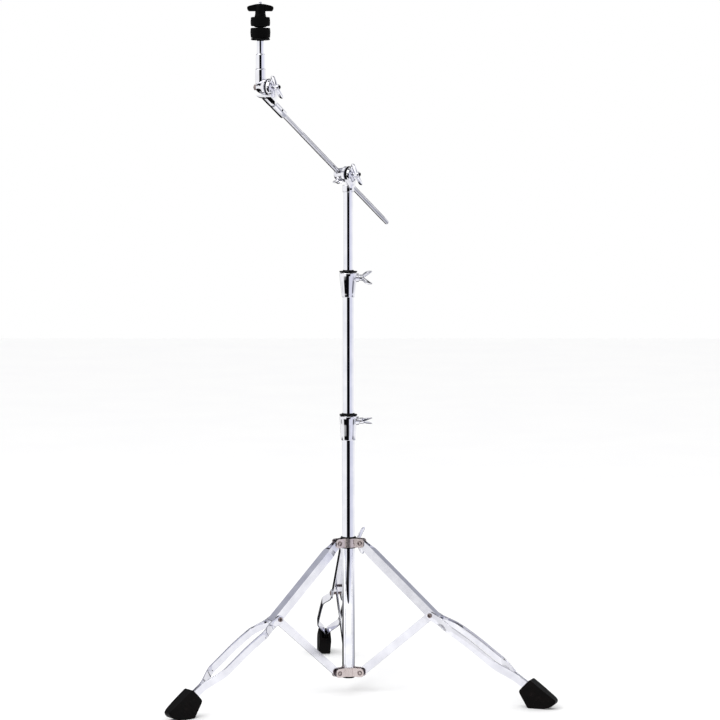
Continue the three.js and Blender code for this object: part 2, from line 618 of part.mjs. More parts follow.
function addBoom(stand) {
  const azimuth = THREE.MathUtils.degToRad(BOOM_AZIMUTH + 180);
  const tilter = placed(stand, new THREE.Vector3(0, 0, BOOM_PIVOT_HEIGHT), (g) => {
    g.rotateZ(azimuth);
    g.rotateX(Math.PI / 2);
  });
  piece(tilter, 'boom_tilter_base', tilterBase(), chrome());
  const screwHeight = UPPER_TUBE.top - 6 - BOOM_PIVOT_HEIGHT;
  const screw = bar(SET_SCREW.radius, UPPER_TUBE.outer + 2 * GAP, 11.8);
  screw.rotateY(SET_SCREW.turn).translate(0, screwHeight, 0);
  piece(tilter, 'boom_tilter_set_screw', screw, nickel());
  const ratchetBolt = { tip: -10, hub: 13.4, end: 28, head: 5.5, wingFrom: 17.5, wingTo: 25 };
  piece(tilter, 'boom_tilter_bolt', wingBolt(ratchetBolt).rotateZ(RATCHET_TURN), chrome());
  const rise = THREE.MathUtils.degToRad(BOOM_RISE);
  const boom = placed(tilter, new THREE.Vector3(), (g) => g.rotateZ(-rise));
  piece(boom, 'boom_tilter_arm', tilterArm(), chrome());
  const clampBolt = wingBolt({
    tip: ROD.radius + 2 * GAP,
    hub: 13.8,
    end: 21,
    shaft: 2.5,
    head: 5,
    span: 12.5,
    wingFrom: 16.8,
    wingTo: 20,
    thick: 3,
  });
  clampBolt.rotateZ(Math.PI / 2).rotateX(Math.PI / 2).translate(0, 0, -ROD.offset);
  piece(boom, 'rod_clamp_bolt', clampBolt, chrome());
  piece(boom, 'boom_rod', boomRod(), chrome());
  const top = placed(boom, new THREE.Vector3(-BOOM_REACH, TOP_PIVOT_LIFT, 0));
  piece(top, 'top_tilter_base', cradle(), chrome());
  const rodScrew = bar(SET_SCREW.radius, ROD.smooth + 2 * GAP, 8.4);
  rodScrew.translate(SOCKET.far - 16, -TOP_PIVOT_LIFT, -ROD.offset);
  piece(top, 'top_tilter_set_screw', rodScrew, nickel());
  const topBolt = wingBolt({ ...ratchetBolt, tip: -33, end: 26 }).rotateZ(RATCHET_TURN + rise);
  piece(top, 'top_tilter_bolt', topBolt, chrome());
  const head = placed(top, new THREE.Vector3(), (g) => g.rotateZ(rise));
  piece(head, 'top_tilter_head', tilterHead(), chrome());
  const nut = cut(bar(6.2, -32, -27 - GAP, 6), bar(BOLT.hole, -40, 5));
  piece(head, 'top_tilter_nut', nut, nickel());
  addSeat(head);
}

// ---- Assembly -----------------------------------------------------------------------------------------

const stand = new THREE.Group();
addTripod(stand);
addColumn(stand);
addBoom(stand);

const box = new THREE.Box3().setFromObject(stand, true);
const middle = box.getCenter(new THREE.Vector3());
stand.position.set(-middle.x, -middle.y, -box.min.z);

const group = new THREE.Group();
group.name = 'boom_cymbal_stand';
group.add(stand);

export default group;
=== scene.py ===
# The looks of a chrome boom cymbal stand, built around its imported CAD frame.
# Shapes are drawn in millimetres in a local frame of the part they belong to, and piece() puts them
# into the scene in metres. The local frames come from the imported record's joints, so every piece
# lies where its CAD node does.
import json
import math

import bmesh
import bpy
from mathutils import Matrix, Vector, noise


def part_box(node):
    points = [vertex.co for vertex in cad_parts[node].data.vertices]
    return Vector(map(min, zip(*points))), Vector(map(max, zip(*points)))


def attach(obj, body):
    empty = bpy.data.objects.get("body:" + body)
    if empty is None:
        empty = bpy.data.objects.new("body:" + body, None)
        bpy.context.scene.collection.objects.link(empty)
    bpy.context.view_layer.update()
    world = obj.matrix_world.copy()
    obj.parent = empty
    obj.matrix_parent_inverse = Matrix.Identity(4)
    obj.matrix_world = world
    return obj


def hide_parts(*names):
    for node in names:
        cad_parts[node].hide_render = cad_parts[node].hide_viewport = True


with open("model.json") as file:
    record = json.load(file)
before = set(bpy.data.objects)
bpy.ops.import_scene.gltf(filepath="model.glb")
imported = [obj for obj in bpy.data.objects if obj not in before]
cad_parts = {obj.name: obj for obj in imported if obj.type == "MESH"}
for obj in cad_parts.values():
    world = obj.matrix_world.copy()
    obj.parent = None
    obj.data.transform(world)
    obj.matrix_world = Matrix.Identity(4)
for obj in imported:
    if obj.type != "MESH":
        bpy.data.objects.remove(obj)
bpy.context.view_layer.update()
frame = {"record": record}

record = frame["record"]
behaviour = record["behaviour"]
JOINTS = {joint["name"]: joint for joint in behaviour["joints"]}
BODY_OF = {node: body for body, nodes in behaviour["bodies"].items() for node in nodes}
SIDES = ("right", "left", "rear")
MM = Matrix.Scale(0.001, 4)
GAP = 0.3  # between neighbouring pieces
THIRD = math.radians(120)  # between neighbouring legs


# ---- Local frames


def low_high(node):
    """The heights of a node's ends, in millimetres."""
    low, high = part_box(node)
    return low[2] * 1000, high[2] * 1000


def basis(origin, x, y, z):
    """A frame from its origin and its three axes."""
    rotation = Matrix((x, y, z)).transposed().to_4x4()
    return Matrix.Translation(origin) @ rotation


def column_frame():
    low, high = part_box("base_tube")
    return Matrix.Translation(((low[0] + high[0]) / 2, (low[1] + high[1]) / 2, 0))


STAND = column_frame()


def leg_frame(side):
    """+X runs out along the leg's plane, from the column's axis at floor level."""
    pivot = Vector(JOINTS[f"leg_{side}_hinge"]["pos_m"])
    out = pivot - STAND.translation
    return STAND @ Matrix.Rotation(math.atan2(out.y, out.x), 4, "Z")


def tilter_frames():
    """The tilters' frames: +Z is the ratchet axis, +Y is up and -X points along the boom."""
    up = Vector((0, 0, 1))
    ratchet = -Vector(JOINTS["boom_tilt"]["axis"])
    along = Vector(JOINTS["boom_rod_slide"]["axis"])
    pivot = Vector(JOINTS["boom_tilt"]["pos_m"])
    upper_pivot = Vector(JOINTS["top_tilt"]["pos_m"])
    level = up.cross(ratchet)
    lower = basis(pivot, level, up, ratchet)
    tilted_up = ratchet.cross(-along)
    boom = basis(pivot, -along, tilted_up, ratchet)
    upper = basis(upper_pivot, -along, tilted_up, ratchet)
    head = basis(upper_pivot, level, up, ratchet)
    return lower, boom, upper, head


TILTER, BOOM, TOP, HEAD = tilter_frames()

# Dimensions shared by neighbouring pieces, in millimetres.
BASE_RADIUS, MIDDLE_RADIUS, UPPER_RADIUS = 12.7, 11.1, 9.5
TUBE_WALL, UPPER_TUBE_WALL = 1.3, 1.5
COLLAR_RADIUS = 17.6  # of a height clamp's upper end and its ring
BUSHING_RADIUS = 15.2  # of the plastic sleeve in the sliding bracket
UPPER_PIVOT = (28, 306)  # distance from the column's axis, and height
LOWER_PIVOT = (28, 41)
KNEE = (180, 170)
PIVOT_HOLE, RIVET = 3.2, 2.9  # radii
EAR_INSIDE, PLATE_THICK, EAR_TIP = 6.2, 2, 36
BRACE_HALF, BRACE_THICK = 8, 2.5
STRAP_HALF, STRAP_THICK = 8, 2.6
STRAP_AT_KNEE, STRAP_BULGE, STRAP_AT_FOOT = 11.1, 23.5, 2.6  # from the leg's plane
DISC = 16  # ratchet disc
TEETH_INSIDE, TEETH_DEEP = 9.5, 0.55
FACE = 0.4  # of a ratchet disc, from the joint's middle
ROD_OFFSET = 18.8
ROD_RADIUS = 4.8
SOCKET_LIFT = 6
BOLT, BOLT_HOLE = 3, 3.4
SCREW, SCREW_HOLE = 2, 2.3
WING_TURN = 126  # degrees, of both ratchet bolts' wings
COLLAR_SCREW_TURN = -28  # degrees
SCREW_ALONG = 74  # the top tilter's set screw, along its socket
POST_RADIUS = 6.6  # of the cymbal post inside the neck
STUD_HOLE = 3.3
FELT_RADIUS = {"lower_felt": 18.6, "upper_felt": 18.2}
FELT_SAG = {"lower_felt": 0.0, "upper_felt": 2.2}


# ---- Outlines


def rounded(points, radius, steps=4, closed=False):
    """The outline with its corners rounded by about that radius; an open outline keeps its ends."""
    result = []
    last = len(points) - 1
    for i, point in enumerate(points):
        here = Vector(point[:2])
        if not closed and i in (0, last):
            result.append(here)
            continue
        before = Vector(points[i - 1][:2]) - here
        after = Vector(points[(i + 1) % len(points)][:2]) - here
        reach = min(radius, before.length * 0.45, after.length * 0.45)
        start = here + before.normalized() * reach
        end = here + after.normalized() * reach
        for k in range(steps + 1):
            t = k / steps
            result.append(start * (1 - t) ** 2 + here * (2 * t * (1 - t)) + end * t**2)
    return result


def arc(x, y, radius, start, end, steps=12):
    """Points on an arc, from one angle to another in degrees."""
    angles = [math.radians(start + (end - start) * i / steps) for i in range(steps + 1)]
    return [Vector((x + radius * math.cos(a), y + radius * math.sin(a))) for a in angles]


def stadium(start, end, radius):
    """A bar's outline with half-round ends about two points."""
    heading = math.degrees(math.atan2(end[1] - start[1], end[0] - start[0]))
    return arc(*start, radius, heading + 90, heading + 270) + arc(*end, radius, heading - 90, heading + 90)


def smoothstep(value, start, end):
    t = min(max((value - start) / (end - start), 0), 1)
    return t * t * (3 - 2 * t)


# ---- Meshes


def turned(profile, sides=72, ring=False):
    """A solid of revolution about +Z from (radius, height) pairs; a ring's profile closes on itself."""
    bm = bmesh.new()
    angles = [2 * math.pi * i / sides for i in range(sides)]
    rows = []
    for radius, height in profile:
        if radius < 1e-6:
            rows.append([bm.verts.new((0, 0, height))])
        else:
            rows.append([bm.verts.new((radius * math.cos(a), radius * math.sin(a), height)) for a in angles])
    pairs = list(zip(rows, rows[1:]))
    if ring:
        pairs.append((rows[-1], rows[0]))
    for low, high in pairs:
        for i in range(sides):
            j = (i + 1) % sides
            corners = [low[i % len(low)], low[j % len(low)], high[j % len(high)], high[i % len(high)]]
            unique = list(dict.fromkeys(corners))
            if len(unique) > 2:
                bm.faces.new(unique)
    bmesh.ops.recalc_face_normals(bm, faces=bm.faces)
    return bm


def bar(radius, low, high, sides=48, edge=0.0):
    """A cylinder about +Z with its rims eased."""
    profile = [(0, low), (radius, low), (radius, high), (0, high)]
    return turned(rounded(profile, edge, 3) if edge else profile, sides)


def pipe(inner, outer, low, high, sides=96, edge=0.4):
    profile = [(inner, low), (outer, low), (outer, high), (inner, high)]
    return turned(rounded(profile, edge, 3, closed=True), sides, ring=True)


def prism(outline, low, high):
    """A flat outline in the XY plane, given thickness along Z."""
    bm = bmesh.new()
    under = [bm.verts.new((x, y, low)) for x, y in outline]
    over = [bm.verts.new((x, y, high)) for x, y in outline]
    bm.faces.new(under)
    bm.faces.new(over)
    for i in range(len(under)):
        j = (i + 1) % len(under)
        bm.faces.new((under[i], under[j], over[j], over[i]))
    bmesh.ops.recalc_face_normals(bm, faces=bm.faces)
    return bm


def moved(bm, *matrices):
    """The mesh after each of the matrices in turn."""
    for matrix in matrices:
        bm.transform(matrix)
    return bm


def turn(degrees, axis):
    return Matrix.Rotation(math.radians(degrees), 4, axis)


def shift(x, y, z):
    return Matrix.Translation((x, y, z))


UPRIGHT = turn(90, "X")  # a plan in XY stood up as a side view in XZ, its thickness along -Y


def slab(outline, near, far):
    """A flat outline in the XZ plane, given thickness along Y."""
    return moved(prism(outline, -far, -near), UPRIGHT)


def cross_bar(radius, x, z, near, far, sides=32):
    """A cylinder along Y through the point (x, z)."""
    return moved(bar(radius, -far, -near, sides), UPRIGHT, shift(x, 0, z))


def placed(name, data):
    """A new object in the scene."""
    obj = bpy.data.objects.new(name, data)
    bpy.context.scene.collection.objects.link(obj)
    return obj


def into_mesh(name, bm):
    mesh = bpy.data.meshes.new(name)
    bm.to_mesh(mesh)
    bm.free()
    return mesh


def boolean(operation, base, *others):
    """The base joined with, cut by or kept inside each of the others."""
    owner, *tools = (placed("scratch", into_mesh("scratch", bm)) for bm in (base, *others))
    for tool in tools:
        modifier = owner.modifiers.new("boolean", "BOOLEAN")
        modifier.operation = operation
        modifier.solver = "EXACT"
        modifier.object = tool
    evaluated = owner.evaluated_get(bpy.context.evaluated_depsgraph_get())
    result = bmesh.new()
    result.from_mesh(evaluated.to_mesh())
    for obj in (owner, *tools):
        mesh = obj.data
        bpy.data.objects.remove(obj)
        bpy.data.meshes.remove(mesh)
    bmesh.ops.remove_doubles(result, verts=result.verts, dist=0.001)
    bmesh.ops.dissolve_degenerate(result, edges=result.edges, dist=0.001)
    return result


def join(base, *others):
    return boolean("UNION", base, *others)


def cut(base, *others):
    return boolean("DIFFERENCE", base, *others)


def common(base, other):
    return boolean("INTERSECT", base, other)


def merged(*meshes):
    """Separate closed shells in one mesh."""
    result = bmesh.new()
    for bm in meshes:
        mesh = into_mesh("shell", bm)
        result.from_mesh(mesh)
        bpy.data.meshes.remove(mesh)
    return result


def loft(sections):
    """A skin over rings of points, all with the same count, closed at both ends."""
    bm = bmesh.new()
    rings = [[bm.verts.new(point) for point in section] for section in sections]
    for low, high in zip(rings, rings[1:]):
        for i in range(len(low)):
            j = (i + 1) % len(low)
            bm.faces.new((low[i], low[j], high[j], high[i]))
    bm.faces.new(rings[0])
    bm.faces.new(rings[-1])
    bmesh.ops.recalc_face_normals(bm, faces=bm.faces)
    return bm


def piece(node, bm, place, look, bevel=0.0, angle=38, name=None, stands_for=True):
    """Puts a finished mesh where its CAD node is, on the node's body, and hides the node."""
    bm.transform(place @ MM)
    mesh = into_mesh(name or f"{node}_look", bm)
    mesh.shade_smooth()
    mesh.materials.append(look)
    obj = placed(mesh.name, mesh)
    if bevel:
        modifier = obj.modifiers.new("edges", "BEVEL")
        modifier.width = bevel / 1000
        modifier.segments = 3
        modifier.limit_method = "ANGLE"
        modifier.angle_limit = math.radians(angle)
        modifier.harden_normals = True
    else:
        mesh.set_sharp_from_angle(angle=math.radians(angle))
    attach(obj, BODY_OF[node])
    if stands_for:
        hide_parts(node)
    return obj


# ---- Materials


class Shading:
    """What materials and the sky share: making, linking and colouring nodes of a tree."""

    def __init__(self, owner):
        owner.use_nodes = True
        self.tree = owner.node_tree
        self.tree.nodes.clear()

    def node(self, kind, **settings):
        made = self.tree.nodes.new(kind)
        for key, value in settings.items():
            setattr(made, key, value)
        return made

    def link(self, source, target):
        self.tree.links.new(source, target)

    def ramp(self, factor, stops):
        """A colour ramp from stops of (position, colour)."""
        made = self.node("ShaderNodeValToRGB")
        elements = made.color_ramp.elements
        while len(elements) < len(stops):
            elements.new(0.5)
        for element, (position, colour) in zip(elements, stops):
            element.position = position
            element.color = (*colour, 1)
        self.link(factor, made.inputs["Fac"])
        return made.outputs["Color"]


class Surface(Shading):
    """A material's node tree, built from the object's own coordinates in metres."""

    def __init__(self, name):
        self.material = bpy.data.materials.new(name)
        super().__init__(self.material)
        self.shader = self.node("ShaderNodeBsdfPrincipled")
        output = self.node("ShaderNodeOutputMaterial")
        self.link(self.shader.outputs["BSDF"], output.inputs["Surface"])
        self.coordinates = self.node("ShaderNodeTexCoord").outputs["Object"]

    def set(self, **values):
        for key, value in values.items():
            self.shader.inputs[key.replace("_", " ")].default_value = value

    def noise(self, scale, detail=4, roughness=0.5, stretch=None):
        made = self.node("ShaderNodeTexNoise")
        made.inputs["Scale"].default_value = scale
        made.inputs["Detail"].default_value = detail
        made.inputs["Roughness"].default_value = roughness
        source = self.coordinates
        if stretch:
            mapping = self.node("ShaderNodeMapping")
            mapping.inputs["Scale"].default_value = stretch
            self.link(source, mapping.inputs["Vector"])
            source = mapping.outputs["Vector"]
        self.link(source, made.inputs["Vector"])
        return made.outputs["Fac"]

    def colours(self, factor, stops):
        self.link(self.ramp(factor, stops), self.shader.inputs["Base Color"])

    def rough(self, factor, low, high):
        spread = self.node("ShaderNodeMapRange")
        spread.inputs["From Min"].default_value = 0.3
        spread.inputs["From Max"].default_value = 0.7
        spread.inputs["To Min"].default_value = low
        spread.inputs["To Max"].default_value = high
        self.link(factor, spread.inputs["Value"])
        self.link(spread.outputs["Result"], self.shader.inputs["Roughness"])

    def bump(self, layers):
        """Stacks bumps; each layer is (height, strength, depth in metres)."""
        normal = None
        for height, strength, depth in layers:
            made = self.node("ShaderNodeBump")
            made.inputs["Strength"].default_value = strength
            made.inputs["Distance"].default_value = depth
            self.link(height, made.inputs["Height"])
            if normal:
                self.link(normal, made.inputs["Normal"])
            normal = made.outputs["Normal"]
        self.link(normal, self.shader.inputs["Normal"])


def chrome(name, dark, light, smooth=0.03, rough=0.08, ripple=0.02):
    """Bright plating: a faint haze of handling, and the slight ripple of polished steel under it."""
    surface = Surface(name)
    surface.set(Metallic=1)
    haze = surface.noise(38, 5)
    surface.colours(haze, [(0.3, dark), (0.7, light)])
    surface.rough(surface.noise(70, 6, 0.6), smooth, rough)
    surface.bump([
        (surface.noise(60, 2), ripple, 0.0004),
        (surface.noise(1400, 3), 0.004, 0.00004),
    ])
    return surface.material


def satin_nickel():
    """Pressed steel, nickel plated: warm grey with the fine grain of the sheet."""
    surface = Surface("bracket_nickel")
    surface.set(Metallic=1)
    grain = surface.noise(420, 5, 0.7, stretch=(1, 1, 0.12))
    surface.colours(grain, [
        (0.25, (0.50, 0.42, 0.41)), (0.55, (0.66, 0.58, 0.57)), (0.8, (0.76, 0.69, 0.68)),
    ])
    surface.rough(grain, 0.2, 0.36)
    surface.bump([(grain, 0.08, 0.0001), (surface.noise(160, 3), 0.05, 0.0002)])
    return surface.material


def dark_steel():
    """Rivets and nut: a darker plating, with dull marks where the tool has struck."""
    surface = Surface("fastener_steel")
    surface.set(Metallic=1)
    marks = surface.noise(520, 5, 0.65)
    surface.colours(marks, [(0.3, (0.16, 0.12, 0.12)), (0.7, (0.40, 0.34, 0.33))])
    surface.rough(marks, 0.2, 0.42)
    surface.bump([(marks, 0.12, 0.0001)])
    return surface.material


def moulded_rubber():
    """Black rubber: fine pores, a dusty bloom in patches, and a low sheen."""
    surface = Surface("foot_rubber")
    bloom = surface.noise(55, 6, 0.6)
    surface.colours(bloom, [
        (0.35, (0.001, 0.001, 0.001)), (0.62, (0.003, 0.002, 0.002)), (0.8, (0.010, 0.007, 0.007)),
    ])
    surface.rough(bloom, 0.42, 0.62)
    surface.set(Specular_IOR_Level=0.07)
    surface.bump([(surface.noise(2600, 3, 0.6), 0.25, 0.00012), (surface.noise(260, 3), 0.1, 0.0003)])
    return surface.material


def black_plastic(name, low, high):
    """Near-black nylon or blackened steel: a fine grain and a slight change of tone over it."""
    surface = Surface(name)
    tone = surface.noise(120, 5)
    surface.colours(tone, [(0.3, (0.001, 0.001, 0.001)), (0.7, (0.003, 0.003, 0.003))])
    surface.rough(tone, low, high)
    surface.set(Specular_IOR_Level=0.05)
    surface.bump([(surface.noise(3200, 2), 0.2, 0.00008)])
    return surface.material


def wool_felt():
    """Pressed wool: matted fibres in two directions, with a soft sheen from loose ends."""
    surface = Surface("wool_felt")
    fibres = surface.noise(1500, 6, 0.75, stretch=(1, 1, 0.35))
    crossing = surface.noise(1100, 6, 0.75, stretch=(0.4, 1, 1))
    surface.colours(fibres, [
        (0.3, (0.001, 0.001, 0.001)), (0.6, (0.003, 0.003, 0.003)), (0.85, (0.012, 0.012, 0.013)),
    ])
    surface.rough(crossing, 0.85, 1.0)
    surface.set(Sheen_Weight=0.03, Sheen_Roughness=0.5, Specular_IOR_Level=0.02)
    surface.bump([(fibres, 0.9, 0.0004), (crossing, 0.7, 0.0004)])
    return surface.material


TUBE_CHROME = chrome("tube_chrome", (0.80, 0.81, 0.87), (0.93, 0.93, 0.97), 0.015, 0.04, 0.008)
LEG_CHROME = chrome("leg_chrome", (0.70, 0.70, 0.76), (0.84, 0.84, 0.89), 0.05, 0.12, 0.03)
CAST_CHROME = chrome("cast_chrome", (0.78, 0.78, 0.83), (0.92, 0.92, 0.96), 0.02, 0.06, 0.03)
ROD_CHROME = chrome("rod_chrome", (0.60, 0.60, 0.65), (0.74, 0.74, 0.79), 0.12, 0.20)
NICKEL = satin_nickel()
FASTENER = dark_steel()
RUBBER = moulded_rubber()
NYLON = black_plastic("black_nylon", 0.35, 0.5)
NUT_PLASTIC = black_plastic("wing_nut_plastic", 0.42, 0.58)
BLACK_OXIDE = black_plastic("black_oxide", 0.25, 0.4)
FELT = wool_felt()


# ---- Wing bolts, rivets and screws


def wing(root, tip, span, root_height, tip_height, root_thick, tip_thick, bend=0.0):
    """One wing of a bolt head, out along +X: an oval section that thins towards a round tip."""
    stations, around = 22, 28
    sections = []
    for i in range(stations + 1):
        t = i / stations
        x = span * t
        tip_round = math.sqrt(max(1 - max(t - 0.78, 0) ** 2 / 0.22**2, 0.004))
        half_high = (root_height + (tip_height - root_height) * smoothstep(t, 0, 0.8)) / 2 * tip_round
        half_thick = (root_thick + (tip_thick - root_thick) * smoothstep(t, 0, 0.9)) / 2 * tip_round
        centre = root + (tip - root) * t**1.15
        ring = []
        for k in range(around):
            a = 2 * math.pi * k / around
            wide = math.copysign(abs(math.cos(a)) ** 0.7, math.cos(a)) * half_thick
            high = math.copysign(abs(math.sin(a)) ** 0.7, math.sin(a)) * half_high
            ring.append((x, wide + bend * t * t, centre + high))
        sections.append(ring)
    return loft(sections)


def threaded(radius, low, high, pitch=1.0, sides=24):
    """A screw thread about +Z as a stack of grooves that climb one pitch for each turn."""
    rows = max(4, int((high - low) / pitch * 4))
    sections = []
    for i in range(rows + 1):
        height = low + (high - low) * i / rows
        ring = []
        for k in range(sides):
            share = k / sides
            phase = ((height - low) / pitch + share) % 1
            crest = radius - 0.35 * abs(2 * phase - 1)
            a = 2 * math.pi * share
            ring.append((crest * math.cos(a), crest * math.sin(a), height))
        sections.append(ring)
    return loft(sections)


def wing_bolt(tip, hub, end, head, span, wing_from, wing_to, thick, bend=0.0, shaft=BOLT):
    """A bolt along +Z with two wings on its head, spread along X."""
    dome = rounded([
        (0, hub), (head * 0.93, hub), (head, hub + 1.2), (head, end - 3.2), (head * 0.72, end - 0.5),
        (0, end),
    ], 1.6, 5)
    middle = (hub + end) / 2 - 0.5
    blade = {
        "root": middle,
        "tip": (wing_from + wing_to) / 2,
        "span": span,
        "root_height": (end - hub) * 0.62,
        "tip_height": wing_to - wing_from,
        "root_thick": thick * 1.7,
        "tip_thick": thick * 0.62,
    }
    right = wing(**blade, bend=bend)
    left = moved(wing(**blade, bend=bend), turn(180, "Z"))
    return merged(join(turned(dome, 48), right, left), threaded(shaft - 0.1, tip, hub + 1))


def rivet_rim():
    """A hollow rivet's rolled rim round its dark mouth, facing +Z."""
    return turned(rounded([
        (0, -2.4), (2.1, -2.4), (2.1, -0.4), (2.7, 1.5), (4.2, 1.8), (5.0, 0.7), (5.0, 0.0), (RIVET, 0.0),
        (RIVET, -6.0), (0, -6.0),
    ], 0.5, 4), 40)


def tube_rivet(x, z, reach):
    """A hollow rivet along Y through the point (x, z), with a rim at each end."""
    front = moved(rivet_rim(), turn(-90, "X"), shift(x, reach, z))
    back = moved(rivet_rim(), turn(90, "X"), shift(x, -reach, z))
    return merged(front, cross_bar(RIVET, x, z, 3 - reach, reach - 3), back)


def rivet_halves(x, z, reach, near):
    """A hollow rivet along Y in two halves, with its middle left open for the brace."""
    rim = moved(rivet_rim(), turn(-90, "X"), shift(x, reach, z))
    half = merged(rim, cross_bar(RIVET, x, z, near, reach - 3))
    mirror = moved(half.copy(), Matrix.Scale(-1, 4, (0, 1, 0)))
    bmesh.ops.reverse_faces(mirror, faces=mirror.faces)
    return merged(half, mirror)


def socket_screw(radius, low, high):
    """A grub screw about +Z with a hexagon socket in its outer end."""
    body = threaded(radius, low, high, 0.6, 20)
    key = prism(arc(0, 0, radius * 0.62, 0, 300, 5), high - 1.6, high + 1)
    return cut(body, key)


# ---- Column


def column():
    tubes = {
        "base_tube": (BASE_RADIUS - TUBE_WALL, BASE_RADIUS),
        "middle_tube": (MIDDLE_RADIUS - TUBE_WALL, MIDDLE_RADIUS),
        "upper_tube": (UPPER_RADIUS - UPPER_TUBE_WALL, UPPER_RADIUS),
    }
    for node, (inner, outer) in tubes.items():
        piece(node, pipe(inner, outer, *low_high(node)), STAND, TUBE_CHROME)
    low, high = low_high("base_tube_plug")
    inside = BASE_RADIUS - TUBE_WALL - GAP
    plug = turned(rounded([
        (0, low), (BASE_RADIUS - 0.4, low), (BASE_RADIUS, low + 1), (BASE_RADIUS, low + 3.7),
        (inside, low + 3.7), (inside, high), (0, high),
    ], 0.6, 4), 96)
    piece("base_tube_plug", plug, STAND, RUBBER)
    clamp("lower", BASE_RADIUS, MIDDLE_RADIUS, 70)
    clamp("upper", MIDDLE_RADIUS, UPPER_RADIUS, -60)


def clamp(prefix, lower, upper, bolt_turn):
    """A height clamp: tapered casting, plastic ring on top and a wing bolt through its boss."""
    bottom, top = low_high(f"{prefix}_clamp_body")
    bore = lower + GAP
    bolt_height = JOINTS[f"{prefix}_clamp_turn"]["pos_m"][2] * 1000
    casting = turned(rounded([
        (bore, bottom), (bore + 1.7, bottom), (bore + 2.3, bottom + 8), (COLLAR_RADIUS - 1, top - 16),
        (COLLAR_RADIUS, top - 5), (COLLAR_RADIUS, top), (bore, top),
    ], 2.2, 6, closed=True), 96, ring=True)
    along = turn(90, "Y")
    at_bolt = shift(0, 0, bolt_height)
    boss = rounded([(0, bore + 0.6), (9.4, bore + 0.6), (8.4, 19), (8.2, 21.5), (0, 21.5)], 1, 4)
    tube_bore = bar(bore, bottom - 5, top + 5, 96)
    boss_hole = moved(bar(BOLT_HOLE, bore - 3, 30), along, at_bolt)
    body = cut(join(casting, moved(turned(boss, 64), along, at_bolt)), tube_bore, boss_hole)
    piece(f"{prefix}_clamp_body", body, STAND, CAST_CHROME, bevel=0.35)
    low, high = low_high(f"{prefix}_clamp_bushing")
    ring = turned(rounded([
        (upper + GAP, low), (COLLAR_RADIUS, low), (COLLAR_RADIUS + 0.4, low + 0.6),
        (COLLAR_RADIUS, low + 2.6), (upper + 1.6, low + 3.2), (upper + 1.2, high), (upper + GAP, high),
    ], 0.5, 4, closed=True), 96, ring=True)
    piece(f"{prefix}_clamp_bushing", ring, STAND, NYLON)
    bolt = wing_bolt(tip=lower + 2 * GAP, hub=21.8, end=33, head=6.2, span=25, wing_from=38, wing_to=51,
                     thick=4.2)
    place = STAND @ Matrix.Translation((0, 0, bolt_height / 1000)) @ along @ turn(bolt_turn, "Z")
    piece(f"{prefix}_clamp_bolt", bolt, place, CAST_CHROME)


# ---- Tripod


def bracket_plate(fit, bottom, top, nose):
    """A pressed plate with an ear beside each of two neighbouring legs, joined round the tube."""
    outside = EAR_INSIDE + PLATE_THICK
    inner_from = math.degrees(math.asin(EAR_INSIDE / fit))
    outer_radius = fit + PLATE_THICK
    outer_from = math.degrees(math.asin(outside / outer_radius))
    next_leg = Matrix.Rotation(THIRD, 2)
    outline = [Vector((EAR_TIP, outside)), *arc(0, 0, outer_radius, outer_from, 120 - outer_from, 24)]
    outline += [next_leg @ Vector((EAR_TIP, -outside)), next_leg @ Vector((EAR_TIP, -EAR_INSIDE))]
    outline += [*arc(0, 0, fit, 120 - inner_from, inner_from, 24), Vector((EAR_TIP, EAR_INSIDE))]
    waste = beyond_ears(bottom, top, nose)
    own = slab(waste, EAR_INSIDE - 1, outside + 1)
    beside = moved(slab(waste, -outside - 1, 1 - EAR_INSIDE), turn(120, "Z"))
    return cut(prism(outline, bottom, top), own, beside)


def beyond_ears(bottom, top, nose):
    """The side view of what is cut from a plate's blank to leave its ears with rounded noses."""
    start, end = EAR_TIP - nose, EAR_TIP + 9
    over, under = 2 * top - bottom, 2 * bottom - top
    outline = [Vector((start, over)), Vector((start, top))]
    outline += arc(start, top - nose, nose, 90, 0, 8) + arc(start, bottom + nose, nose, 0, -90, 8)
    return outline + [Vector(point) for point in ((start, bottom), (start, under), (end, under), (end, over))]


def lock_hole(heading):
    """A cutter for the leg lock bolt's hole, out from the column in the given direction."""
    return moved(bar(BOLT_HOLE, 10, 30), turn(90, "Y"), turn(heading, "Z"), shift(0, 0, UPPER_PIVOT[1]))


def brackets(side, place):
    """One leg's third of the sliding bracket and of the lower bracket, with their rivets."""
    ears = EAR_INSIDE + PLATE_THICK
    height = UPPER_PIVOT[1]
    upper_plate = bracket_plate(BUSHING_RADIUS + GAP, height - 9, height + 9, 6)
    if side == "right":
        upper_plate = cut(upper_plate, lock_hole(60))
    piece(f"upper_bracket_plate_{side}", upper_plate, place, NICKEL, bevel=0.5)
    piece(f"upper_bracket_rivet_{side}", tube_rivet(*UPPER_PIVOT, ears + GAP), place, FASTENER)
    height = LOWER_PIVOT[1]
    lower_plate = bracket_plate(BASE_RADIUS + GAP, height - 8.5, height + 9.5, 7)
    piece(f"lower_bracket_plate_{side}", lower_plate, place, NICKEL, bevel=0.5)
    halves = rivet_halves(*LOWER_PIVOT, ears, near=1.9)
    piece(f"lower_bracket_plate_{side}", halves, place, FASTENER, name=f"lower_bracket_rivet_{side}",
          stands_for=False)


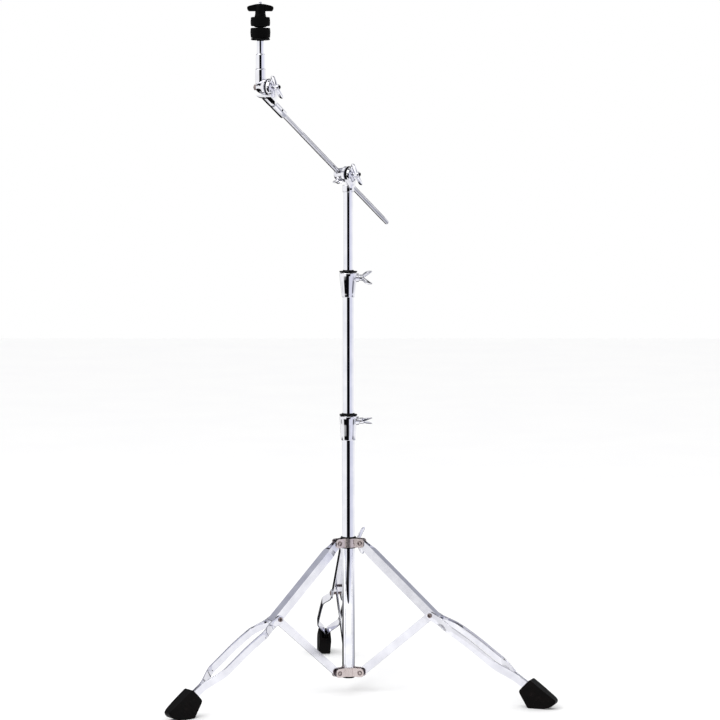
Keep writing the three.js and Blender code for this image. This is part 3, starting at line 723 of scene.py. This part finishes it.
def tripod():
    for side in SIDES:
        place = leg_frame(side)
        brackets(side, place)
        leg(side, place)
    axis = JOINTS["leg_lock_turn"]["axis"]
    heading = math.degrees(math.atan2(axis[1], axis[0]))
    bushing = pipe(BASE_RADIUS + GAP, BUSHING_RADIUS, *low_high("leg_bracket_bushing"), edge=0.6)
    piece("leg_bracket_bushing", cut(bushing, lock_hole(heading)), STAND, NYLON, bevel=0.15)
    lock = wing_bolt(tip=13.4, hub=18, end=30, head=6.2, span=28, wing_from=34, wing_to=44, thick=4.2, bend=2)
    place = STAND @ Matrix.Translation((0, 0, UPPER_PIVOT[1] / 1000)) @ turn(heading, "Z") @ turn(90, "Y")
    piece("leg_lock_bolt", lock, place, CAST_CHROME)


def leg(side, place):
    reach = Vector((KNEE[0] - UPPER_PIVOT[0], KNEE[1] - UPPER_PIVOT[1]))
    slope = math.degrees(math.atan2(-reach.y, reach.x))
    upper = place @ Matrix.Translation((UPPER_PIVOT[0] / 1000, 0, UPPER_PIVOT[1] / 1000)) @ turn(slope, "Y")
    piece(f"leg_channel_{side}", leg_channel(reach.length), upper, LEG_CHROME, bevel=0.9)
    piece(f"leg_strap_{side}_a", leg_strap(1), place, LEG_CHROME)
    piece(f"leg_strap_{side}_b", leg_strap(-1), place, LEG_CHROME)
    rivet = tube_rivet(*KNEE, STRAP_AT_KNEE + STRAP_THICK / 2 + GAP)
    piece(f"knee_rivet_{side}", rivet, place, FASTENER)
    blank = slab(stadium(LOWER_PIVOT, KNEE, BRACE_HALF), -BRACE_THICK / 2, BRACE_THICK / 2)
    holes = [cross_bar(PIVOT_HOLE, *pivot, -5, 5) for pivot in (LOWER_PIVOT, KNEE)]
    piece(f"brace_{side}", cut(blank, *holes), place, LEG_CHROME, bevel=0.5)
    piece(f"foot_{side}", foot(), place, RUBBER, bevel=1.6, angle=30)


def leg_channel(length):
    """The upper leg: a channel open underneath, narrowed to tongues between the bracket's ears."""
    end = length + 15
    side_view = [
        *arc(0, 0, 7.5, 100, 260, 16),
        *rounded([(16, -7), (20, -7), (end - 4, -7), (end, -3), (end, 10.5), (26, 10.5), (14, 9)], 2.4, 5),
    ]
    hollow_view = [(-20, -20), (end + 20, -20), (end + 20, 9.1), (26, 9.1), (14, 20), (-20, 20)]

    def taper(half, neck, start, stop):
        return [(start, -neck), (17, -neck), (31, -half), (stop, -half), (stop, half), (31, half), (17, neck),
                (start, neck)]

    outer_plan = rounded(taper(9.5, 5.9, -20, end + 10), 4, 6, closed=True)
    inner_plan = rounded(taper(8.1, 4.5, -30, end + 30), 4, 6, closed=True)
    blank = common(slab(side_view, -20, 20), prism(outer_plan, -30, 30))
    hollow = common(slab(hollow_view, -20, 20), prism(inner_plan, -30, 30))
    holes = [cross_bar(PIVOT_HOLE, x, 0, -20, 20) for x in (0, length)]
    return cut(blank, hollow, *holes)


def strap_spread(distance):
    """How far a lower strap stands off the leg's plane: pressed out after the knee, in at the foot."""
    opening = smoothstep(distance, KNEE[0] + 14, KNEE[0] + 50)
    closing = smoothstep(distance, KNEE[0] + 137, KNEE[0] + 184)
    return STRAP_AT_KNEE + (STRAP_BULGE - STRAP_AT_KNEE) * opening - (STRAP_BULGE - STRAP_AT_FOOT) * closing


def catmull(points, t):
    """The point at t, from 0 to 1, on a smooth curve through the points."""
    spans = len(points) - 1
    i = min(int(t * spans), spans - 1)
    u = t * spans - i
    a, b, c, d = (Vector(points[min(max(k, 0), spans)]) for k in (i - 1, i, i + 1, i + 2))
    return 0.5 * (2 * b + (c - a) * u + (2 * a - 5 * b + 4 * c - d) * u**2 + (3 * b - a - 3 * c + d) * u**3)


def leg_strap(side):
    """A lower leg strap: a band with eased edges, arched in side view and bowed in plan."""
    knee = Vector(KNEE)
    spine = [KNEE, (226, 146), (267, 121), (301, 97), (348, 64), (381, 42)]
    steps, end_steps = 90, 10
    before = knee - (catmull(spine, 0.01) - knee).normalized() * STRAP_HALF
    half_thick = STRAP_THICK / 2
    sections = []
    for i in range(-end_steps, steps + 1):
        if i < 0:
            angle = math.radians(-i * 9 - 1)
            at = knee.lerp(before, math.sin(angle))
            wide = max(STRAP_HALF * math.cos(angle), 0.4)
            along = (knee - before).normalized()
        else:
            at = catmull(spine, i / steps)
            ahead = catmull(spine, min(i / steps + 0.01, 1)) - catmull(spine, max(i / steps - 0.01, 0))
            along, wide = ahead.normalized(), STRAP_HALF
        slope = (strap_spread(at.x + 1) - strap_spread(at.x - 1)) / 2 * side
        tangent = Vector((along.x, slope * along.x, along.y)).normalized()
        across = Vector((-along.y, 0, along.x))
        out = tangent.cross(across).normalized()
        centre = Vector((at.x, side * strap_spread(at.x), at.y))
        corners = [(-wide, -half_thick), (wide, -half_thick), (wide, half_thick), (-wide, half_thick)]
        section = rounded(corners, 0.7, 3, closed=True)
        sections.append([centre + across * x + out * y for x, y in section])
    return cut(loft(sections), cross_bar(PIVOT_HOLE, *KNEE, -30, 30))


def foot():
    """A rubber foot: a wedge over the strap ends, flat where it stands, ribbed on its flanks."""
    side_view = rounded([
        (386, 0), (402, 0), (420, 1.4), (435, 6), (441.5, 12.5), (443, 17), (439.5, 21), (393, 55), (390, 56),
        (387, 54), (370, 36), (368, 32), (370, 27),
    ], 3, 4, closed=True)
    half = 12.5
    plan = rounded([
        (355, -half), (415, -half), (436, -10.5), (446, -6.5), (446, 6.5), (436, 10.5), (415, half),
        (355, half),
    ], 7, 6, closed=True)
    pocket = [(361, 44.7), (382, 30.7), (393, 46), (371, 61)]
    blank = common(slab(side_view, -30, 30), prism(plan, -5, 80))
    lean = Vector((387 - 366, 55 - 35)).normalized()
    grooves = []
    for i in range(5):
        start = Vector((377 + 11 * i, 10))
        stop = start + lean * (34 - 5 * i)
        for y in (-half - 0.4, half + 0.4):
            grooves.append(slab(stadium(start, stop, 1.1), y - 1, y + 1))
    return cut(blank, slab(pocket, -7, 7), *grooves)


# ---- Boom


def serrate(bm, height, inner, depth, count=36):
    """Cuts radial ratchet teeth into the flat ring that faces the joint, at that height."""
    for vert in bm.verts:
        if abs(vert.co.z - height) < 1e-4 and vert.co.xy.length > inner:
            share = math.atan2(vert.co.y, vert.co.x) / (2 * math.pi) * count
            vert.co.z += depth * (1 - abs(2 * (share % 1) - 1))
    return bm


def ratchet_disc():
    """The toothed disc on the outer side of a tilter's ratchet."""
    profile = [(0, FACE), (9, FACE), (10, FACE), (DISC - 0.6, FACE), (DISC, FACE + 0.6)]
    profile += rounded([(DISC, FACE + 0.7), (DISC, 8), (DISC - 2, 11.5), (9, 13), (0, 13)], 1.6, 5)
    return serrate(turned(profile, 144), FACE, TEETH_INSIDE, TEETH_DEEP)


def toothed_barrel(profile):
    """The inner side of a tilter's ratchet: a turned barrel that ends in a toothed face."""
    face = [Vector((DISC - 0.6, -FACE)), Vector((10, -FACE)), Vector((9, -FACE)), Vector((0, -FACE))]
    return serrate(turned(profile + face, 144), -FACE, TEETH_INSIDE, -TEETH_DEEP)


def bolt_hole(low, high):
    """A cutter for the hole of a ratchet's wing bolt."""
    return bar(BOLT_HOLE, low, high, 32)


def boom_tilter():
    """The lower tilter's base: ratchet disc, neck and the collar that sits on the upper tube."""
    tube_top = low_high("upper_tube")[1] - TILTER.translation.z * 1000
    low, high = tube_top - 12, tube_top + 2.3
    screw_place = (turn(COLLAR_SCREW_TURN, "Y"), shift(0, low + 6, 0))
    neck = prism(rounded([(-9.5, -26), (9.5, -26), (13, -8), (-13, -8)], 2, 4, closed=True), FACE, 10)
    collar = turned(rounded([(0, low), (11.5, low), (11.5, high), (0, high)], 1.2, 4), 96)
    tube_bore = bar(UPPER_RADIUS + GAP, low - 5, tube_top + GAP, 96)
    down = turn(-90, "X")
    body = join(ratchet_disc(), neck, moved(collar, down))
    screw_hole = moved(bar(SCREW_HOLE, 4, 20, 24), *screw_place)
    body = cut(body, moved(tube_bore, down), bolt_hole(-5, 20), screw_hole)
    piece("boom_tilter_base", body, TILTER, CAST_CHROME, bevel=0.4, angle=42)
    screw = moved(socket_screw(SCREW, UPPER_RADIUS + 2 * GAP, 11.8), *screw_place)
    piece("boom_tilter_set_screw", screw, TILTER, BLACK_OXIDE)
    bolt = wing_bolt(tip=-10, hub=13.4, end=28, head=5.6, span=27, wing_from=16, wing_to=25.5, thick=4)
    piece("boom_tilter_bolt", moved(bolt, turn(WING_TURN, "Z")), TILTER, CAST_CHROME)
    tilter_plug_and_shade_band("boom_tilter", 28, TILTER, 6.6)


def tilter_plug_and_shade_band(prefix, end, place, band):
    """The black plug in the wing bolt's end, and a black band of painted shade round the ratchet's outer
    disc, which widens the dark gap between the two discs.
    """
    plug = turned(rounded([(0, end - 1.5), (3.5, end - 1.5), (3.5, end + 0.2), (0, end + 0.5)], 0.3, 3), 40)
    piece(f"{prefix}_bolt", plug, place, NYLON, name=f"{prefix}_bolt_plug", stands_for=False)
    # Painted shade: this black band on the outer disc's rim stands in for the shade in the gap between the
    # two ratchet discs.
    ring = pipe(DISC - 0.5, DISC + 0.25, FACE + 0.7, band, 144, 0.2)
    piece(f"{prefix}_base", ring, place, NYLON, name=f"{prefix}_gap_shade_band", stands_for=False)


def boom_arm():
    """The lower tilter's moving half, which holds the boom rod, and the bolt that clamps the rod."""
    housing = rounded([
        (0, -28.6), (10, -28.6), (11.5, -27), (12.5, -17), (14, -9), (DISC, -7), (DISC, -FACE - 0.7),
    ], 1.5, 5)
    at_rod = shift(0, 0, -ROD_OFFSET)
    up = turn(90, "X")
    boss = turned(rounded([(0, 8), (6.8, 8), (6.4, 13.5), (0, 13.5)], 0.8, 4), 48)
    rod_bore = moved(bar(ROD_RADIUS + GAP, -30, 30), turn(90, "Y"), at_rod)
    clamp_hole = moved(bar(2.8, 0, 20, 24), up, at_rod)
    body = join(toothed_barrel(housing), moved(boss, up, at_rod))
    body = cut(body, rod_bore, clamp_hole, bolt_hole(-11, 5))
    piece("boom_tilter_arm", body, BOOM, CAST_CHROME, bevel=0.4, angle=42)
    bolt = wing_bolt(tip=ROD_RADIUS + 2 * GAP, hub=13.8, end=21, head=5.2, span=12.5, wing_from=15.4,
                     wing_to=20.4, thick=3.2, shaft=2.5)
    piece("rod_clamp_bolt", moved(bolt, turn(90, "Z"), up, at_rod), BOOM, CAST_CHROME)


def knurled(radius, depth, low, high, ribs=26, pitch=1.0):
    """A rod about +Z with a diamond knurl: raised and sunk points alternate round and along it."""
    rows = int((high - low) / pitch)
    sections = []
    for i in range(rows + 1):
        height = low + (high - low) * i / rows
        ring = []
        for k in range(2 * ribs):
            at_end = i in (0, rows)
            reach = radius - depth if (i + k) % 2 or at_end else radius
            a = math.pi * k / ribs
            ring.append((reach * math.cos(a), reach * math.sin(a), height))
        sections.append(ring)
    return loft(sections)


def boom_rod():
    """The rod from its open end to the upper tilter: plain ends, knurled lengths and a plain band."""
    tail, front = 198, 266
    plain, core = 4.5, 4.2
    knurl_from, knurl_to = -157, 180.5
    band_low, band_high = -58, -53
    shaft = turned(rounded([
        (0, -front), (plain, -front), (plain, knurl_from), (core, knurl_from + 0.4), (core, band_low),
        (ROD_RADIUS, band_low + 0.3), (ROD_RADIUS, band_high - 0.3), (core, band_high), (core, 180),
        (plain, 181), (plain, tail - 2), (plain - 1.2, tail), (0, tail),
    ], 0.5, 3), 64)
    lengths = [
        knurled(ROD_RADIUS, 0.28, knurl_from, band_low - 0.2),
        knurled(ROD_RADIUS, 0.28, band_high + 0.2, knurl_to),
    ]
    rod = moved(merged(shaft, *lengths), turn(90, "Y"), shift(0, 0, -ROD_OFFSET))
    piece("boom_rod", rod, BOOM, ROD_CHROME, angle=60)


def cradle():
    """The two parts between the ratchet and the rod's socket: a web beside the barrel, a bowl under it."""
    web = rounded([(48, -3), (48, -15.5), (22, -21), (0, -21), (0, -10), (12, 6), (24, 9)], 3, 5, closed=True)
    beside = cut(prism(web, -0.5, 12), bar(DISC + 1, -40, FACE, 96))
    taper = slab([(15, 13.5), (49, -9), (70, -9), (70, 40), (15, 40)], -40, 40)
    belly = turned(rounded([(0, -27.5), (15, -27.5), (20, -21), (22.3, -9), (22, 0), (0, 0)], 5, 8), 128)
    tail = turned(rounded([(0, -16), (7, -16), (9.5, 10), (9.5, 40), (8.4, 47), (0, 48)], 3, 6), 72)
    moved(tail, turn(90, "Y"), shift(0, -SOCKET_LIFT - 2.4, -ROD_OFFSET + 5))
    lower_half = prism([(0, -40), (60, -40), (60, -3), (26, 4), (16, 0), (0, -10)], -40, 0)
    under = cut(common(join(belly, tail), lower_half), bar(DISC + 1, -40, 10, 96))
    return cut(beside, taper), under


def top_tilter():
    """The upper tilter's base: ratchet disc, cradle and the socket for the end of the boom rod."""
    at_rod = shift(0, -SOCKET_LIFT, -ROD_OFFSET)
    at_screw = shift(SCREW_ALONG, 0, 0)
    socket = turned(rounded([(0, 40), (8.2, 40), (8.2, 90), (0, 90)], 1.4, 4), 72)
    socket = moved(socket, turn(90, "Y"), at_rod)
    bore = moved(bar(ROD_RADIUS, 51, 95), turn(90, "Y"), at_rod)
    screw_hole = moved(bar(SCREW_HOLE, 0, 20, 24), at_screw, at_rod)
    body = cut(join(ratchet_disc(), *cradle(), socket), bore, screw_hole, bolt_hole(-5, 20))
    piece("top_tilter_base", body, TOP, CAST_CHROME, bevel=0.6, angle=42)
    screw = moved(socket_screw(SCREW, 5.1, 8.4), at_screw, at_rod)
    piece("top_tilter_set_screw", screw, TOP, BLACK_OXIDE)
    bolt = wing_bolt(tip=-33, hub=13.4, end=26, head=5.6, span=27, wing_from=15, wing_to=24.5, thick=4)
    rise = math.degrees(math.asin(JOINTS["boom_rod_slide"]["axis"][2]))
    piece("top_tilter_bolt", moved(bolt, turn(WING_TURN + rise, "Z")), TOP, CAST_CHROME)
    tilter_plug_and_shade_band("top_tilter", 26, TOP, 4.6)


def seat():
    """The upper tilter's moving half with the cymbal's post, cup, felts and wing nut."""
    pivot = HEAD.translation.z * 1000
    stand_up = (turn(-90, "X"), shift(0, 0, -ROD_OFFSET))
    neck_top = low_high("top_tilter_head")[1] - pivot
    barrel_end = -25.4
    barrel = rounded([
        (0, barrel_end), (6.6, barrel_end), (9.4, -23.6), (11.6, -19), (13.2, -13), (15, -8), (DISC, -6.5),
        (DISC, -FACE - 0.7),
    ], 2, 5)
    neck = turned(rounded([(0, 6), (10, 6), (10, neck_top - 1), (9.2, neck_top), (0, neck_top)], 1.2, 5), 72)
    post_hole = moved(bar(POST_RADIUS + GAP, 10, neck_top + 5), *stand_up)
    body = cut(join(toothed_barrel(barrel), moved(neck, *stand_up)), post_hole, bolt_hole(-40, 5))
    piece("top_tilter_head", body, HEAD, CAST_CHROME, bevel=0.5, angle=42)
    nut = cut(prism(arc(0, 0, 6.2, 0, 300, 5), -32, barrel_end - GAP), bolt_hole(-40, 5))
    piece("top_tilter_nut", nut, HEAD, FASTENER, bevel=0.5)
    post(stand_up, pivot, neck_top)
    cup_and_sleeve(stand_up, pivot)
    felts(stand_up, pivot)
    wing_nut(stand_up, pivot)


def post(stand_up, pivot, neck_top):
    """The post in the head's neck: a thick foot, a shoulder and a thinner length, then the stud."""
    foot_low, stud_top = (height - pivot for height in low_high("cymbal_post"))
    cup_low = low_high("cup_washer")[0] - pivot
    shoulder = neck_top + 28.3
    thick, thin = 8.65, 6.7
    shaft = turned(rounded([
        (0, foot_low), (POST_RADIUS, foot_low), (POST_RADIUS, neck_top + GAP), (thick, neck_top + GAP),
        (thick, shoulder - 1.2), (7.9, shoulder), (thin, shoulder + 0.2), (thin, cup_low - 1.2),
        (6.2, cup_low - GAP), (0, cup_low - GAP),
    ], 0.7, 4), 72)
    stud = threaded(3, cup_low - 2, stud_top - 1.2)
    tip = turned(rounded([
        (0, stud_top - 1.6), (2.8, stud_top - 1.6), (2.5, stud_top - 0.6), (0, stud_top),
    ], 0.6, 4), 32)
    piece("cymbal_post", moved(merged(shaft, stud, tip), *stand_up), HEAD, TUBE_CHROME, angle=50)


def cup_and_sleeve(stand_up, pivot):
    low, high = (height - pivot for height in low_high("cup_washer"))
    cup = turned(rounded([
        (STUD_HOLE, low), (15.8, low), (18.2, low + 1.0), (18.4, low + 1.8), (17.2, high), (STUD_HOLE, high),
    ], 0.8, 4, closed=True), 96, ring=True)
    piece("cup_washer", moved(cup, *stand_up), HEAD, NYLON)
    low, high = (height - pivot for height in low_high("cymbal_sleeve"))
    sleeve = pipe(STUD_HOLE, 5.9, low, high, 64, 0.5)
    piece("cymbal_sleeve", moved(sleeve, *stand_up), HEAD, NYLON)


def felt(low, high, radius, sag):
    """A felt washer: soft rims, a slightly swollen flank and a matted surface; its middle may sag."""
    bore, sides, rows, flat = 6.2, 168, 34, 16
    rim, belly = 1.8, 0.4
    profile = [(bore + (radius - 1.6 - bore) * i / flat, low) for i in range(flat)]
    profile += arc(radius - rim, low + rim, rim, -90, 0, 6)
    for i in range(1, rows):
        t = i / rows
        profile.append((radius + belly * math.sin(math.pi * t), low + rim + (high - low - 2 * rim) * t))
    profile += arc(radius - rim, high - rim, rim, 0, 90, 6)
    profile += [(radius - rim - (radius - rim - bore) * i / flat, high) for i in range(1, flat + 1)]
    bm = turned(profile, sides, ring=True)
    middle = (low + high) / 2
    for vert in bm.verts:
        reach = vert.co.xy.length
        if reach < bore + 0.4:
            continue
        away = Vector((vert.co.x / reach, vert.co.y / reach, 0))
        fuzz = noise.noise(vert.co * 1.1) * 0.22 + noise.noise(vert.co * 0.16) * 0.35
        if reach > radius - 2.2:
            vert.co += away * fuzz
        else:
            vert.co.z += fuzz * 0.5 * (1 if vert.co.z > middle else -1)
        if vert.co.z < middle:
            vert.co.z -= sag * (1 - smoothstep(reach, 9.5, 13.5))
    return bm


def felts(stand_up, pivot):
    for node, radius in FELT_RADIUS.items():
        low, high = (height - pivot for height in low_high(node))
        disc = felt(low + 0.2, high - 0.2, radius, FELT_SAG[node])
        washer = piece(node, moved(disc, *stand_up), HEAD, FELT, angle=80)


def wing_nut(stand_up, pivot):
    """A plastic wing nut: flared hub, ribbed skirt and two broad wings that rise to a domed middle."""
    low, high = (height - pivot for height in low_high("wing_nut"))
    wings = low + 11.1
    hub = turned(rounded([
        (0, low), (11.4, low), (10.9, low + 1.6), (10.0, low + 5), (9.8, wings), (9.6, high - 3),
        (6.5, high), (0, high),
    ], 1.8, 6), 96)
    half = [(23.2, wings - 0.5), (25.2, wings + 5), (24.8, wings + 8), (21, high - 3.2), (7, high)]
    outline = rounded([(-23.2, wings - 0.5), *half, *[(-x, z) for x, z in half[:0:-1]]], 3, 6, closed=True)
    flutes = []
    for i in range(16):
        a = 2 * math.pi * (i + 0.5) / 16
        flute = bar(0.9, low + 1.5, wings - 1.5, 12)
        flutes.append(moved(flute, shift(10.9 * math.cos(a), 10.9 * math.sin(a), 0)))
    body = cut(join(hub, slab(outline, -4.2, 4.2)), bar(STUD_HOLE, low - 5, high + 5, 48), *flutes)
    across = math.degrees(math.atan2(HEAD[1][0], HEAD[0][0]))
    piece("wing_nut", moved(body, turn(-across, "Z"), *stand_up), HEAD, NUT_PLASTIC, bevel=0.9, angle=40)


# ---- Stage, light and camera


def floor():
    """White paper under the stand, on a pale floor that is too far off to show in the plating."""
    surface = floor_paper()
    floor_sheet("floor_near", surface, front=-0.76, back=-0.1, side=1.6, height=0)
    floor_sheet("floor_far", surface, front=-9.0, back=9.0, side=9.0, height=-0.0005).visible_glossy = False


def floor_sheet(name, surface, front, back, side, height):
    bm = bmesh.new()
    corners = [(-side, front), (side, front), (side, back), (-side, back)]
    bm.faces.new([bm.verts.new((*corner, height)) for corner in corners])
    bmesh.ops.subdivide_edges(bm, edges=bm.edges, cuts=6, use_grid_fill=True)
    mesh = into_mesh(name, bm)
    mesh.materials.append(surface)
    obj = placed(name, mesh)
    return obj


def floor_paper():
    surface = Surface("floor_paper")
    tone = surface.noise(3, 2)
    surface.colours(tone, [(0.3, (0.965, 0.965, 0.97)), (0.7, (0.98, 0.98, 0.98))])
    surface.set(Roughness=0.9, Specular_IOR_Level=0.1)
    surface.bump([(surface.noise(240, 3), 0.05, 0.0002)])
    return surface.material


WHITE, LILAC, STEEL = (1, 1, 1), (0.78, 0.79, 0.90), (0.5, 0.51, 0.57)
GREY, BLACK = (0.16, 0.165, 0.19), (0.003, 0.003, 0.004)

# What the plating mirrors, in degrees round the stand from the camera's side towards the right.
LEVEL_BANDS = [
    (-180, WHITE), (-170, WHITE), (-166, BLACK), (-158, BLACK), (-152, WHITE), (-31, WHITE), (-27, BLACK),
    (27, BLACK), (31, LILAC), (75, LILAC), (105, WHITE), (160, WHITE), (180, WHITE),
]
UPPER_BANDS = [
    (-180, GREY), (-165, GREY), (-150, STEEL), (-130, STEEL), (-122, BLACK), (-110, BLACK), (-104, WHITE),
    (-60, WHITE), (-54, BLACK), (-22, BLACK), (-18, WHITE), (20, WHITE), (24, BLACK), (62, BLACK),
    (70, LILAC), (120, WHITE), (140, STEEL), (180, GREY),
]
LOWER_BANDS = [
    (-180, GREY), (-172, BLACK), (-104, BLACK), (-94, WHITE), (-70, WHITE), (-62, BLACK), (8, BLACK),
    (14, LILAC), (64, LILAC), (68, BLACK), (78, BLACK), (84, STEEL), (128, STEEL), (140, GREY),
    (160, BLACK), (175, GREY), (180, GREY),
]
# And overhead, in degrees above the horizon.
ZENITH_BANDS = [(0, WHITE), (58, WHITE), (64, BLACK), (74, BLACK), (80, WHITE), (90, WHITE)]


class Sky(Shading):
    """The world's node tree, with a direction's heading and height as angles."""

    def __init__(self, world):
        super().__init__(world)
        direction = self.node("ShaderNodeSeparateXYZ")
        self.link(self.node("ShaderNodeTexCoord").outputs["Generated"], direction.inputs["Vector"])
        towards_camera = self.maths("MULTIPLY", direction.outputs["Y"], -1)
        self.heading = self.maths("ARCTAN2", direction.outputs["X"], towards_camera)
        self.height = self.maths("ARCSINE", direction.outputs["Z"])

    def maths(self, operation, first, second=None):
        made = self.node("ShaderNodeMath", operation=operation)
        for socket, value in zip(made.inputs, (first, second)):
            if isinstance(value, (int, float)):
                socket.default_value = value
            elif value is not None:
                self.link(value, socket)
        return made.outputs[0]

    def banded(self, angle, low, high, stops):
        """Colours along an angle between two limits, from stops of (degrees, colour)."""
        share = self.node("ShaderNodeMapRange")
        share.inputs["From Min"].default_value = math.radians(low)
        share.inputs["From Max"].default_value = math.radians(high)
        self.link(angle, share.inputs["Value"])
        stops = [((at - low) / (high - low), colour) for at, colour in stops]
        return self.ramp(share.outputs["Result"], stops)

    def where(self, first, last, below, above):
        """A mask by height: one value up to the first angle, another from the last one on."""
        masks = [(-90, (below,) * 3), (first, (below,) * 3), (last, (above,) * 3), (90, (above,) * 3)]
        return self.banded(self.height, -90, 90, masks)

    def mixed(self, factor, first, second):
        made = self.node("ShaderNodeMix", data_type="RGBA")
        self.link(factor, made.inputs["Factor"])
        self.link(first, made.inputs["A"])
        if isinstance(second, tuple):
            made.inputs["B"].default_value = (*second, 1)
        else:
            self.link(second, made.inputs["B"])
        return made.outputs["Result"]

    def pattern(self):
        """The bands that are mirrored, with plain white straight down."""
        level, upper, lower = (
            self.banded(self.heading, -180, 180, bands) for bands in (LEVEL_BANDS, UPPER_BANDS, LOWER_BANDS)
        )
        result = self.mixed(self.where(9, 14, below=0, above=1), level, upper)
        result = self.mixed(self.where(-13, -10.5, below=1, above=0), result, lower)
        result = self.mixed(self.where(-69, -64, below=1, above=0), result, WHITE)
        zenith = self.banded(self.height, 0, 90, ZENITH_BANDS)
        return self.mixed(self.where(46, 52, below=0, above=1), result, zenith)


def studio():
    """A white tent: plain for the light that it gives, banded for what the plating mirrors."""
    world = bpy.data.worlds.new("studio")
    bpy.context.scene.world = world
    sky = Sky(world)
    mirrored = sky.node("ShaderNodeBackground")
    sky.link(sky.pattern(), mirrored.inputs["Color"])
    plain = sky.node("ShaderNodeBackground")
    plain.inputs["Color"].default_value = (*WHITE, 1)
    blend = sky.node("ShaderNodeMixShader")
    sky.link(sky.node("ShaderNodeLightPath").outputs["Is Glossy Ray"], blend.inputs["Fac"])
    sky.link(plain.outputs[0], blend.inputs[1])
    sky.link(mirrored.outputs[0], blend.inputs[2])
    sky.link(blend.outputs[0], sky.node("ShaderNodeOutputWorld").inputs["Surface"])


def softbox():
    """One soft lamp, high on the left in front of the stand."""
    lamp = bpy.data.lights.new("softbox", "AREA")
    lamp.energy = 45
    lamp.size = 2.2
    obj = placed("softbox", lamp)
    obj.location = (-1.8, -2.0, 3.2)
    aim = Vector((0, 0, 0.6)) - obj.location
    obj.rotation_euler = aim.to_track_quat("-Z", "Y").to_euler()


def camera():
    """Between the heights of the two tilters, looking 5 degrees down."""
    lens = bpy.data.cameras.new("camera")
    lens.lens = 130
    lens.sensor_width = 36
    lens.clip_end = 100
    obj = placed("camera", lens)
    obj.location = STAND.translation + Vector((0.0234, -5.2, 1.13))
    obj.rotation_euler = (math.radians(90 - 5), 0, 0)
    bpy.context.scene.camera = obj


camera()
column()
tripod()
boom_tilter()
boom_arm()
boom_rod()
top_tilter()
seat()
floor()
studio()
softbox()
bpy.context.scene.view_settings.view_transform = "Standard"
